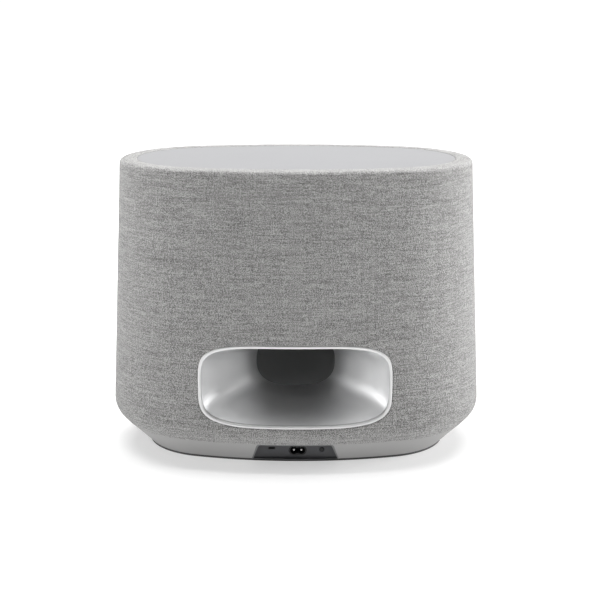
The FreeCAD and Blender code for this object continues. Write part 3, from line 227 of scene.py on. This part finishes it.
# ------------------------------------------------------------------ materials
class Nodes:
    """Adds nodes to a tree: values can be numbers, colours or other nodes' outputs."""

    def __init__(self, tree):
        self.tree = tree

    def set(self, socket, value):
        if isinstance(value, bpy.types.NodeSocket):
            self.tree.links.new(value, socket)
        elif isinstance(value, (tuple, list)) and len(value) == 3 and socket.type == "RGBA":
            socket.default_value = (*value, 1)
        else:
            socket.default_value = value

    def node(self, kind, inputs=None, **settings):
        made = self.tree.nodes.new("ShaderNode" + kind)
        for key, value in settings.items():
            setattr(made, key, value)
        for key, value in (inputs or {}).items():
            self.set(made.inputs[key], value)
        return made

    def math(self, operation, first, second=0.0, third=0.0):
        made = self.node("Math", {0: first, 1: second, 2: third}, operation=operation)
        return made.outputs[0]

    def ranged(self, value, low, high, to_low, to_high):
        made = self.node("MapRange", {"Value": value, "From Min": low, "From Max": high,
                                      "To Min": to_low, "To Max": to_high})
        return made.outputs[0]

    def parts(self, vector):
        """The X, Y and Z outputs of a vector."""
        return self.node("SeparateXYZ", {0: vector}).outputs


class Shader(Nodes):
    """One node material."""

    def __init__(self, name, **settings):
        self.material = bpy.data.materials.new(name)
        self.material.use_nodes = True
        super().__init__(self.material.node_tree)
        self.surface = self.tree.nodes["Principled BSDF"]
        self.finish(**settings)

    def finish(self, **settings):
        """Sets the surface's inputs, with _ for a space in their names."""
        for key, value in settings.items():
            self.set(self.surface.inputs[key.replace("_", " ")], value)

    def blend(self, amount, first, second):
        made = self.node("Mix", data_type="RGBA")
        for socket, value in (("Factor", amount), (6, first), (7, second)):
            self.set(made.inputs[socket], value)
        return made.outputs[2]

    def noise(self, vector, scale, detail=2.0, rough=0.5):
        made = self.node("TexNoise", {"Vector": vector, "Scale": scale, "Detail": detail,
                                      "Roughness": rough})
        return made.outputs["Fac"]

    def from_noise(self, value, to_low, to_high, middle=0.4):
        """Noise put on a range: its values lie mostly in a band round one half."""
        return self.ranged(value, 0.5 - middle / 2, 0.5 + middle / 2, to_low, to_high)

    def add_share(self, value, share, base):
        """A base with a share of a value's distance from one half added."""
        return self.math("MULTIPLY_ADD", self.math("SUBTRACT", value, 0.5), share, base)

    def place(self):
        return self.node("TexCoord").outputs["Object"]

    def joined(self, x, y, z):
        return self.node("CombineXYZ", {"X": x, "Y": y, "Z": z}).outputs[0]

    def bump(self, height, strength, distance):
        made = self.node("Bump", {"Height": height, "Strength": strength,
                                  "Distance": distance})
        self.finish(Normal=made.outputs[0])


def moulded(name, colour, rough=0.45, grain=900, depth=0.04, spread=0.06, specular=0.5):
    """Moulded or painted matter: fine grain in the surface and slight unevenness."""
    shader = Shader(name, Specular_IOR_Level=specular)
    place = shader.place()
    cloud = shader.noise(place, 14, 3)
    fine = shader.noise(place, grain, 2, 0.6)
    dark = tuple(c * (1 - spread) for c in colour)
    light = tuple(min(1, c * (1 + spread)) for c in colour)
    shader.finish(Base_Color=shader.blend(shader.from_noise(cloud, 0, 1), dark, light),
                  Roughness=shader.from_noise(fine, rough - 0.05, rough + 0.05))
    shader.bump(fine, depth, 0.4 * MM)
    return shader.material


WARP_PITCH, WEFT_PITCH = PERIMETER / 1100, 1.0 * MM
# The cloth's yarn colours, from the darkest to the lightest tone.
YARN = ((0.0, (0.118, 0.117, 0.114)), (0.3, (0.235, 0.233, 0.229)),
        (0.6, (0.355, 0.352, 0.346)), (1.0, (0.54, 0.535, 0.53)))


def cloth_material(name):
    """Heathered plain-weave cloth. The UVs are metres round and down the speaker."""
    shader = Shader(name, Roughness=0.9, Specular_IOR_Level=0.2, Sheen_Weight=0.2,
                    Sheen_Roughness=0.5)
    uv = shader.parts(shader.node("UVMap", uv_map="UVMap").outputs[0])
    round_, down = uv["X"], uv["Y"]

    # The cloth goes round without a join: noise is read on a circle as long as the cloth.
    turn = shader.math("MULTIPLY", round_, 2 * math.pi / PERIMETER)
    radius = PERIMETER / (2 * math.pi)
    east = shader.math("MULTIPLY", shader.math("COSINE", turn), radius)
    north = shader.math("MULTIPLY", shader.math("SINE", turn), radius)

    def streaks(along, across, detail, shift):
        """Noise with features 1/along long round the speaker and 1/across long down it."""
        vector = shader.joined(shader.math("MULTIPLY", east, along),
                               shader.math("MULTIPLY", north, along),
                               shader.math("MULTIPLY_ADD", down, across, shift))
        return shader.noise(vector, 1.0, detail, 0.55)

    # A weft yarn runs round the speaker and a warp yarn down it, and they cross over and
    # under in turn.
    across_cell = shader.math("MULTIPLY", round_, math.pi / WARP_PITCH)
    down_cell = shader.math("MULTIPLY", down, math.pi / WEFT_PITCH)
    product = shader.math("MULTIPLY", shader.math("SINE", across_cell),
                          shader.math("SINE", down_cell))
    weft_over = shader.math("GREATER_THAN", product, 0.0)
    crown = shader.math("POWER", shader.math("ABSOLUTE", product), 0.6)

    weft = shader.from_noise(streaks(70, 1 / WEFT_PITCH, 3.0, 0.0), 0.1, 0.9, 0.44)
    warp = shader.from_noise(streaks(1 / WARP_PITCH, 150, 3.0, 7.0), 0.25, 0.75, 0.44)
    fleck = streaks(1100, 1100, 1.0, 3.0)
    slub = streaks(26, 560, 2.0, 11.0)
    thread = streaks(420, 3.5, 2.0, 17.0)
    cloud = streaks(20, 34, 3.0, 23.0)
    tone = shader.node("Mix", {"Factor": weft_over, "A": warp, "B": weft}).outputs[0]
    for other, share in ((fleck, 3.0), (slub, 0.7), (thread, 0.24), (cloud, 0.13)):
        tone = shader.add_share(other, share, tone)
    tone = shader.math("MULTIPLY", tone, shader.ranged(crown, 0, 1, 0.72, 1.08))

    ramp = shader.node("ValToRGB", {"Fac": tone})
    elements = ramp.color_ramp.elements
    for element, (position, colour) in zip(elements, (YARN[0], YARN[-1])):
        element.position, element.color = position, (*colour, 1)
    for position, colour in YARN[1:-1]:
        elements.new(position).color = (*colour, 1)
    shader.finish(Base_Color=ramp.outputs[0])

    height = shader.math("MULTIPLY_ADD", fleck, 0.5, crown)
    height = shader.math("MULTIPLY_ADD", slub, 0.5, height)
    shader.bump(height, 0.55, 0.4 * MM)
    return shader.material


def metal_material(name, colour, rough):
    """Satin metal with a very fine drawn grain."""
    shader = Shader(name, Metallic=1.0)
    place = shader.parts(shader.place())
    stretched = [shader.math("MULTIPLY", place[axis], scale)
                 for axis, scale in (("X", 60), ("Y", 60), ("Z", 2400))]
    grain = shader.noise(shader.joined(*stretched), 1.0, 2)
    cloud = shader.noise(shader.place(), 30, 3)
    worn = shader.from_noise(cloud, rough - 0.02, rough + 0.03)
    shader.finish(Roughness=shader.add_share(grain, 0.08, worn),
                  Base_Color=shader.blend(cloud, tuple(c * 0.96 for c in colour), colour))
    shader.bump(grain, 0.03, 0.2 * MM)
    return shader.material


def banded(name, colour, second, axis_scales, rough, metallic=0.0, depth=0.3):
    """Matter with fine bands or threads: wound wire, woven cloth, extruded or ground metal."""
    shader = Shader(name, Metallic=metallic, Roughness=rough)
    place = shader.parts(shader.place())
    waves = [shader.math("SINE", shader.math("MULTIPLY", place[axis], scale))
             for axis, scale in zip("XYZ", axis_scales) if scale]
    bands = waves[0]
    for wave in waves[1:]:
        bands = shader.math("MULTIPLY", bands, wave)
    tone = shader.add_share(shader.noise(shader.place(), 180, 3), 0.8,
                            shader.ranged(bands, -1, 1, 0.15, 0.85))
    shader.finish(Base_Color=shader.blend(tone, colour, second))
    shader.bump(bands, depth, 0.3 * MM)
    return shader.material


def board(name):
    """Solder mask over copper: darker and lighter cells and tracks."""
    shader = Shader(name, Roughness=0.35)
    cells = shader.node("TexVoronoi", {"Vector": shader.place(), "Scale": 160.0},
                        distance="CHEBYCHEV").outputs["Distance"]
    tracks = shader.ranged(cells, 0.25, 0.3, 0, 1)
    shader.finish(Base_Color=shader.blend(tracks, (0.012, 0.10, 0.035),
                                          (0.006, 0.045, 0.018)))
    shader.bump(tracks, 0.2, 0.1 * MM)
    return shader.material


def cellular(name, colour, scale):
    """Foam or felted wool: small open cells or tufts."""
    shader = Shader(name, Roughness=0.9)
    place = shader.place()
    cells = shader.node("TexVoronoi", {"Vector": place, "Scale": scale}).outputs["Distance"]
    tufts = shader.noise(place, scale * 0.4, 4, 0.7)
    tone = shader.math("MULTIPLY_ADD", cells, 0.7, shader.math("MULTIPLY", tufts, 0.5))
    shader.finish(Base_Color=shader.blend(tone, tuple(c * 0.6 for c in colour), colour))
    shader.bump(cells, 0.6, 0.5 * MM)
    return shader.material


def tray_material(name):
    """The recess: dark textured plastic, with painted light on its rim where it meets the
    base's slope: faces that follow the slope get a paler colour, as if lit, while the recessed
    face keeps the darker one.
    """
    shader = Shader(name)
    facing = shader.parts(shader.node("NewGeometry").outputs["Normal"])
    painted_light_slope = shader.ranged(facing["Z"], -0.45, -0.6, 0, 1)
    outward = shader.ranged(facing["Y"], 0.5, 0.6, 0, 1)
    fine = shader.noise(shader.place(), 1400, 2, 0.6)
    # Painted light: faces that tilt down and out with the base's slope take the paler colour,
    # chosen by their normal.
    shader.finish(Base_Color=shader.blend(shader.math("MULTIPLY", painted_light_slope, outward),
                                          (0.106, 0.107, 0.114), (0.14, 0.142, 0.144)),
                  Roughness=shader.from_noise(fine, 0.42, 0.55))
    shader.bump(fine, 0.08, 0.4 * MM)
    return shader.material


FLOOR_GLOW = (0.35, 1.3, 0.46, 1.02)    # from and to these metres away, from and to this glow


def floor_material(name):
    """Pale floor that glows a little, and more at a distance, to meet the white surround."""
    shader = Shader(name, Roughness=0.7, Specular_IOR_Level=0.2, Emission_Color=(1, 1, 1))
    place = shader.place()
    fine = shader.noise(place, 60, 2, 0.6)
    away = shader.node("VectorMath", {0: place}, operation="LENGTH").outputs["Value"]
    shader.finish(Base_Color=shader.blend(fine, (0.548, 0.548, 0.548),
                                          (0.552, 0.552, 0.552)),
                  Emission_Strength=shader.ranged(away, *FLOOR_GLOW))
    shader.bump(fine, 0.01, 0.4 * MM)
    return shader.material


def make_looks():
    """A material for every material slot of the record, except those of rebuilt pieces."""
    aluminium, steel = (0.66, 0.66, 0.67), (0.52, 0.52, 0.53)
    looks = {
        "base_plastic": moulded("base_satin", (0.37, 0.367, 0.364), rough=0.55, spread=0.02,
                                specular=0.25),
        "tray_plastic": tray_material("tray_texture_painted_light_rim"),
        "foot_rubber": moulded("foot_rubber", (0.08, 0.08, 0.08), rough=0.8, depth=0.1),
        "socket_plastic": moulded("socket_black", (0.012, 0.012, 0.012), rough=0.35),
        "contact_metal": metal_material("plated_contact", (0.64, 0.63, 0.61), 0.3),
        "button_plastic": moulded("button_black", (0.014, 0.014, 0.015)),
        "duct_plastic": moulded("duct_dark", (0.20, 0.202, 0.203), rough=0.5),
        "circuit_board": board("circuit_board"),
        "foam": cellular("closed_foam", (0.03, 0.03, 0.03), 900),
        "wool": cellular("loose_wool", (0.78, 0.77, 0.74), 420),
        "spider_cloth": banded("spider_weave", (0.42, 0.26, 0.07), (0.58, 0.40, 0.14),
                               (5200, 0, 5200), 0.8),
        "dome_silk": banded("dome_silk", (0.02, 0.02, 0.022), (0.045, 0.045, 0.05),
                            (9000, 0, 9000), 0.55, depth=0.15),
        "coil_copper": banded("coil_winding", (0.60, 0.23, 0.10), (0.85, 0.42, 0.22),
                              (0, 16000, 0), 0.35, metallic=1.0),
        "heatsink": banded("heatsink_extrusion", aluminium, (0.76, 0.76, 0.77),
                           (0, 2600, 0), 0.4, metallic=1.0, depth=0.1),
        "yoke_steel": banded("yoke_zinc", steel, (0.62, 0.62, 0.60), (0, 3000, 0), 0.35,
                             metallic=1.0, depth=0.05),
        "screw_steel": metal_material("screw_zinc", steel, 0.32),
        "antenna_metal": metal_material("antenna_brass", (0.80, 0.56, 0.25), 0.3),
    }
    plastics = {
        "grille_plastic": ((0.022, 0.022, 0.023), 0.6),
        "deck_plastic": ((0.02, 0.02, 0.02), 0.55),
        "plate_plastic": ((0.02, 0.02, 0.02), 0.5),
        "switch_plastic": ((0.04, 0.04, 0.04), 0.5),
        "chip_plastic": ((0.01, 0.01, 0.01), 0.4),
        "cabinet_plastic": ((0.015, 0.015, 0.015), 0.55),
        "basket_steel": ((0.006, 0.006, 0.006), 0.45),
        "cone_plastic": ((0.012, 0.012, 0.014), 0.4),
        "surround_rubber": ((0.008, 0.008, 0.008), 0.7),
        "magnet_ferrite": ((0.02, 0.02, 0.02), 0.65),
        "faceplate_plastic": ((0.012, 0.012, 0.012), 0.5),
        "component": ((0.03, 0.03, 0.05), 0.4),
        "wire_jacket": ((0.01, 0.01, 0.01), 0.5),
    }
    for slot, (colour, rough) in plastics.items():
        looks[slot] = moulded(slot + "_look", colour, rough=rough)
    return looks


def paint(thing, material):
    thing.data.materials.clear()
    thing.data.materials.append(material)


# ------------------------------------------------------------------ camera, light and floor
CAMERA_SPOT = Vector((-0.0110, 1.4003, 0.517))
CAMERA_PITCH, CAMERA_YAW = math.radians(14.4), math.radians(0.5)
LENS_MM, SENSOR_MM, CAMERA_SHIFT, FAR_CLIP = 75.6, 36, (0.0085, 0.0055), 30
FLOOR_REACH = 6.0
# Strength of the surround: as the camera sees it, and as it lights the speaker from each end.
SURROUND_SEEN, SURROUND_RIGHT, SURROUND_LEFT = 1.05, 0.14, 0.28
# Name, place, target, size and power of each lamp.
LAMPS = (("overhead", (0, -0.5, 2.1), (0, -0.1, 0.2), (2.6, 1.6), 96),
         ("right_window", (-2.2, 0.0, 0.8), (0, 0, 0.15), (0.8, 1.4), 39),
         ("left_low", (1.6, 0.36, 0.4), (0, 0, 0.15), (0.6, 0.7), 6.6))


def make_camera():
    camera = placed("camera", bpy.data.cameras.new("camera"))
    camera.location = CAMERA_SPOT
    camera.rotation_euler = Euler((math.pi / 2 - CAMERA_PITCH, 0, math.pi + CAMERA_YAW))
    camera.data.sensor_width = SENSOR_MM
    camera.data.lens = LENS_MM
    camera.data.shift_x, camera.data.shift_y = CAMERA_SHIFT
    camera.data.clip_end = FAR_CLIP
    bpy.context.scene.camera = camera


def make_lamp(name, spot, target, size, power):
    lamp = bpy.data.lights.new(name, "AREA")
    lamp.shape = "RECTANGLE"
    lamp.size, lamp.size_y = size
    lamp.energy = power
    thing = placed(name, lamp)
    thing.location = spot
    aim = Vector(target) - Vector(spot)
    thing.rotation_euler = aim.to_track_quat("-Z", "Y").to_euler()


def make_surround():
    """A surround that looks white, and lights the speaker more from the left of the view."""
    world = bpy.data.worlds.new("surround")
    world.use_nodes = True
    shader = Nodes(world.node_tree)
    sideways = shader.parts(shader.node("TexCoord").outputs["Generated"])["X"]
    light = shader.ranged(sideways, -1, 1, SURROUND_RIGHT, SURROUND_LEFT)
    seen = shader.node("LightPath").outputs["Is Camera Ray"]
    background = shader.tree.nodes["Background"]
    shader.set(background.inputs["Color"], (1, 1, 1))
    shader.set(background.inputs["Strength"], shader.ranged(seen, 0, 1, light, SURROUND_SEEN))
    bpy.context.scene.world = world


def make_stage():
    """A pale floor, a white surround, and soft lights: overhead and at both ends."""
    corners = [(x * FLOOR_REACH, y * FLOOR_REACH, 0)
               for x, y in ((-1, -1), (1, -1), (1, 1), (-1, 1))]
    floor = new_mesh("floor", corners, [(0, 1, 2, 3)], smooth=False)
    paint(floor, floor_material("floor_white"))
    make_surround()
    for lamp in LAMPS:
        make_lamp(*lamp)
    bpy.context.scene.view_settings.view_transform = "Standard"


# ------------------------------------------------------------------ cloth
# The patch of the grid that is left open for the port, and the rings that fill it.
PATCH_HALF_WIDTH, PATCH_LOW, PATCH_HIGH = 124 * MM, 40 * MM, 154 * MM
SPREAD_RINGS, SPREAD_EASE, SPREAD_GAP = 9, 0.85, 4.7 * MM
# The last rings close on the bezel and turn in round its edge: gap and depth, mm.
CLOSE_RINGS = ((3.2, 0.0), (1.8, 0.0), (0.9, 0.12), (0.3, 0.5), (0.02, 1.3), (0.02, 3.0))
# Edges of the cloth: inset and rise from the last row, mm.
RIM_TUCK = ((0.12, -0.25), (0.2, -0.8), (0.2, -2.2))
HEM_TUCK = ((0.35, -0.05), (1.0, 0.0), (1.4, 0.15))
TUCK_ROW = 0.6 * MM


def make_cloth():
    """The knit skin: a grid round the oval, with an opening that closes on the bezel."""
    insets, heights = [o for o, z in SKIN], [z for o, z in SKIN]
    sinking = [-z for z in heights]
    downs = [0.0]                       # distance down the cloth from its inner edge
    for (o0, z0), (o1, z1) in zip(SKIN, SKIN[1:]):
        downs.append(downs[-1] + math.hypot(o1 - o0, z1 - z0))
    step = PERIMETER / COLUMNS
    reach = int(round(PATCH_HALF_WIDTH / step))
    patch_rows = [row for row, z in enumerate(heights) if PATCH_LOW < z < PATCH_HIGH]
    first_row, last_row = patch_rows[0], patch_rows[-1]

    points = [wall_point(column * step, inset, height)
              for inset, height in SKIN for column in range(COLUMNS)]
    faces, uvs = [], []
    for row in range(len(SKIN) - 1):
        for column in range(COLUMNS):
            from_middle = column if column <= COLUMNS / 2 else column - COLUMNS
            if first_row <= row < last_row and -reach <= from_middle < reach:
                continue
            after = (column + 1) % COLUMNS
            faces.append((row * COLUMNS + after, row * COLUMNS + column,
                          (row + 1) * COLUMNS + column, (row + 1) * COLUMNS + after))
            uvs += [((column + 1) * step, downs[row]), (column * step, downs[row]),
                    (column * step, downs[row + 1]), ((column + 1) * step, downs[row + 1])]

    # The patch: rings from the grid's edge to the port's outline, in (travel, down) space.
    edge = [(reach, row) for row in range(last_row, first_row, -1)]
    edge += [(column, first_row) for column in range(reach, -reach, -1)]
    edge += [(-reach, row) for row in range(first_row, last_row)]
    edge += [(column, last_row) for column in range(-reach, reach)]
    edge_spots = [(column * step, downs[row]) for column, row in edge]
    steepen = 4 * PORT_HALF_HEIGHT / PORT_HALF_WIDTH   # spreads the points round the port
    angles = [math.atan2((heights[row] - PORT_HEIGHT) * steepen, column * step)
              for column, row in edge]

    def port_spot(angle, grow, sink):
        """Travel, down and depth of a point on the port's outline, grown outwards."""
        x, up = port_point(PORT_HALF_WIDTH + grow, PORT_HALF_HEIGHT + grow, angle)
        z = PORT_HEIGHT + up
        travel = SIDE_RADIUS * math.asin(x / (SIDE_RADIUS - skin_inset(z)))
        return travel, float(np.interp(-z, sinking, downs)), sink

    def patch_point(travel, down, sink):
        inset = float(np.interp(down, downs, insets))
        return wall_point(travel, inset + sink, float(np.interp(down, downs, heights)))

    rings = []
    targets = [port_spot(angle, SPREAD_GAP, 0.0) for angle in angles]
    for ring in range(1, SPREAD_RINGS + 1):
        share = (ring / SPREAD_RINGS) ** SPREAD_EASE
        rings.append([(travel + (target[0] - travel) * share,
                       down + (target[1] - down) * share, 0.0)
                      for (travel, down), target in zip(edge_spots, targets)])
    for grow, sink in CLOSE_RINGS:
        rings.append([port_spot(angle, grow * MM, sink * MM) for angle in angles])

    count = len(edge)
    previous = [row * COLUMNS + column % COLUMNS for column, row in edge]
    previous_uv = edge_spots
    for loop in rings:
        current = list(range(len(points), len(points) + count))
        points += [patch_point(*spot) for spot in loop]
        current_uv = [(travel, down) for travel, down, sink in loop]
        for index in range(count):
            after = (index + 1) % count
            faces.append((previous[index], previous[after], current[after], current[index]))
            uvs += [previous_uv[index], previous_uv[after], current_uv[after],
                    current_uv[index]]
        previous, previous_uv = current, current_uv

    # The edges: turned down into the seam at the panel, and tucked under the hem.
    def border(row, tucks, way):
        last, down = row * COLUMNS, downs[row]
        for inset, rise in tucks:
            start, down_next = len(points), down + way * TUCK_ROW
            points.extend(wall_point(column * step, insets[row] + inset * MM,
                                     heights[row] + rise * MM) for column in range(COLUMNS))
            for column in range(COLUMNS):
                after = (column + 1) % COLUMNS
                quad = (last + after, last + column, start + column, start + after)
                corners = (((column + 1) * step, down), (column * step, down),
                           (column * step, down_next), ((column + 1) * step, down_next))
                faces.append(quad[::way])
                uvs.extend(corners[::way])
            last, down = start, down_next

    border(0, RIM_TUCK, -1)
    border(len(SKIN) - 1, HEM_TUCK, 1)
    cloth = new_mesh("cloth_skin", points, faces, uvs)
    ease_cloth(cloth)
    return cloth


CALM_TOP, CALM_HEM, CALM_PORT = 8 * MM, 3 * MM, 1.25
PORT_FLAT = 60 * MM                     # half of the straight run of the port's long sides


def ease_cloth(cloth):
    """The slight unevenness of stretched cloth, away from its edges and the port."""
    for vertex in cloth.data.vertices:
        spot = vertex.co
        reach = math.hypot(max(abs(spot.x) - PORT_FLAT, 0) / (PORT_HALF_WIDTH - PORT_FLAT),
                           (spot.z - PORT_HEIGHT) / PORT_HALF_HEIGHT)
        if (spot.z > TOP - CALM_TOP or spot.z < HEM + CALM_HEM
                or spot.y > 0 and reach < CALM_PORT):
            continue
        wave = noise.noise(spot * 26) * 0.10 * MM + noise.noise(spot * 90) * 0.05 * MM
        inward = Vector((-spot.x, -spot.y, 0)).normalized()
        vertex.co = spot + inward * abs(wave)


# ------------------------------------------------------------------ bass port
# Across the bezel: share from the outer to the inner edge, and depth under the skin, mm.
BEZEL_SECTION = ((0.0, 3.6), (0.0, 0.9), (0.04, 0.45), (0.14, 0.2), (0.32, 0.15),
                 (0.55, 0.16), (0.76, 0.26), (0.9, 0.5), (0.98, 0.95), (1.0, 1.7), (1.0, 5.2))


def make_bezel():
    """The bright rounded bezel: a bead that follows the wall round the opening."""
    outer, inner = port_outline(0.0), port_outline(BEZEL_WIDTH)
    rings = []
    for share, depth in BEZEL_SECTION:
        rings.append([back_point(xo + (xi - xo) * share, PORT_HEIGHT + zo + (zi - zo) * share,
                                 depth * MM)
                      for (xo, zo), (xi, zi) in zip(outer, inner)])
    return weld(new_mesh("port_bezel", *ring_grid(rings)))


# Place on Y, half width and half height of the flare's sections, from mouth to throat, mm.
FLARE = ((132, 113, 44.6), (122, 106.5, 42), (112, 100.5, 39.4), (95, 87, 36.4),
         (75, 69.5, 33.9), (55, 53.5, 31.6), (40, 44, 30))
MOUTH, THROAT, THROAT_HEIGHT = FLARE[0][0] * MM, FLARE[-1][0] * MM, 102 * MM
FLARE_TUCK, FLARE_DEPTH = 0.1 * MM, 4.2 * MM   # behind the bezel's edge and under the skin
FLARE_EASE, FLARE_ROWS, ROW_EASE, THROAT_LIP = 9 * MM, 80, 0.9, 1.03


def smooth_curve(xs, ys, x):
    """A smooth curve through points, by cubic Hermite spans."""
    slopes = np.gradient(ys, xs)
    index = int(np.clip(np.searchsorted(xs, x) - 1, 0, len(xs) - 2))
    width = xs[index + 1] - xs[index]
    t = (x - xs[index]) / width
    h00, h10 = 2 * t ** 3 - 3 * t ** 2 + 1, t ** 3 - 2 * t ** 2 + t
    h01, h11 = -2 * t ** 3 + 3 * t ** 2, t ** 3 - t ** 2
    return (h00 * ys[index] + h10 * width * slopes[index] + h01 * ys[index + 1]
            + h11 * width * slopes[index + 1])


def flare_point(y, direction):
    """The point of the flare's section at a depth that lies in a direction."""
    ys, widths, heights = ([value * MM for value in column] for column in zip(*FLARE[::-1]))
    along = (MOUTH - y) / (MOUTH - THROAT)
    middle = PORT_HEIGHT + along * (THROAT_HEIGHT - PORT_HEIGHT)
    power = PORT_POWER + along * (THROAT_POWER - PORT_POWER)
    across, up = direction
    size = (abs(across) ** power + abs(up) ** power) ** (-1 / power)
    return Vector((smooth_curve(ys, widths, y) * across * size, y,
                   middle + smooth_curve(ys, heights, y) * up * size))


def make_flare():
    """The flare: starts behind the bezel's inner edge and narrows to the throat."""
    shrink = BEZEL_WIDTH - FLARE_TUCK
    mouth = port_outline(shrink)
    directions = [(x / (PORT_HALF_WIDTH - shrink), z / (PORT_HALF_HEIGHT - shrink))
                  for x, z in mouth]
    starts = [Vector(back_point(x, PORT_HEIGHT + z, FLARE_DEPTH)) for x, z in mouth]
    rings = [[tuple(start) for start in starts]]
    for row in range(1, FLARE_ROWS + 1):
        share = (row / FLARE_ROWS) ** ROW_EASE
        ring = []
        for start, direction in zip(starts, directions):
            y = start.y + (THROAT - start.y) * share
            off_edge = start - flare_point(start.y, direction)
            ease = math.exp(-((start.y - y) / FLARE_EASE) ** 2)
            ring.append(tuple(flare_point(y, direction) + off_edge * ease))
        rings.append(ring)
    rings.append([(x * THROAT_LIP, THROAT, THROAT_HEIGHT + (z - THROAT_HEIGHT) * THROAT_LIP)
                  for x, y, z in rings[-1]])
    return weld(new_mesh("port_flare", *ring_grid(rings)))


# ------------------------------------------------------------------ top panel
PANEL_GAP = 0.45 * MM
# Across the panel's edge: inset from the gap and depth under the rim's top, mm.
PANEL_EDGE = ((0, 3), (0, 0.9), (0.12, 0.45), (0.4, 0.2), (0.9, 0.12), (3, 0.12), (20, 0.12))


def make_panel():
    """The flush touch panel: a flat oval with a fine rounded edge."""
    rings = [oval_ring(RIM_INSET + PANEL_GAP + inset * MM, TOP - depth * MM)
             for inset, depth in PANEL_EDGE]
    points, faces = ring_grid(rings)
    faces.append(tuple(range(len(points) - COLUMNS, len(points))))
    return weld(new_mesh("touch_panel", points, faces))


# ------------------------------------------------------------------ damping wool
WOOL_EDGE, WOOL_SHRINK, WOOL_TUFT = 9 * MM, 0.9 * MM, 0.8 * MM


def make_wool(source):
    """Loose pads of wool: the CAD pads, slightly smaller, with an uneven tufted surface."""
    work = bmesh.new()
    work.from_mesh(source.data)
    bmesh.ops.transform(work, matrix=source.matrix_world, verts=work.verts)
    bmesh.ops.remove_doubles(work, verts=work.verts, dist=0.01 * MM)
    for _ in range(3):
        long_edges = [edge for edge in work.edges if edge.calc_length() > WOOL_EDGE]
        bmesh.ops.subdivide_edges(work, edges=long_edges, cuts=1, use_grid_fill=True)
    bmesh.ops.triangulate(work, faces=work.faces)
    work.normal_update()
    moves = []
    for vertex in work.verts:
        tuft = noise.noise(vertex.co * 55) + 0.5 * noise.noise(vertex.co * 140)
        moves.append(vertex.normal * (tuft * WOOL_TUFT - WOOL_SHRINK))
    for vertex, move in zip(work.verts, moves):
        vertex.co += move
    mesh = bpy.data.meshes.new("wool_pads")
    work.to_mesh(mesh)
    work.free()
    mesh.polygons.foreach_set("use_smooth", [True] * len(mesh.polygons))
    return placed("wool_pads", mesh)


# ------------------------------------------------------------------ build
# Width of the bevel on the edges of the CAD nodes that show, mm.
EDGES = {"connector_panel": 0.35, "base_housing": 0.3, "mains_inlet": 0.3, "inlet_pins": 0.3,
         "pairing_button": 0.25, "service_socket": 0.1, "foot_ring": 0.4, "bottom_plate": 0.3}


def finish_piece(thing, material, node):
    """Paints a piece, hides the CAD node it stands for, and mounts it."""
    paint(thing, material)
    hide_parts(node)
    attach(thing, "housing")
    return thing


make_camera()
make_stage()

cloth = finish_piece(make_cloth(), cloth_material("heathered_knit"), "fabric_cover")
finish_piece(make_bezel(), metal_material("bright_satin_metal", (0.70, 0.70, 0.70), 0.5),
             "port_trim")
finish_piece(make_flare(), metal_material("satin_metal", (0.86, 0.862, 0.865), 0.42),
             "port_horn")
finish_piece(make_panel(), moulded("panel_satin", (0.28, 0.28, 0.287), rough=0.5,
                                   grain=1600, depth=0.015, spread=0.01, specular=0.3),
             "top_panel")
looks = make_looks()
wool = finish_piece(make_wool(nodes["wadding"]), looks["wool"], "wadding")

slot_of = {entry["node"]: entry["material_slot"] for entry in frame["record"]["subparts"]}
for name, thing in nodes.items():
    if thing.hide_render:
        continue
    paint(thing, looks[slot_of[name]])
    if name in EDGES:
        bevel_edges(thing, EDGES[name] * MM)
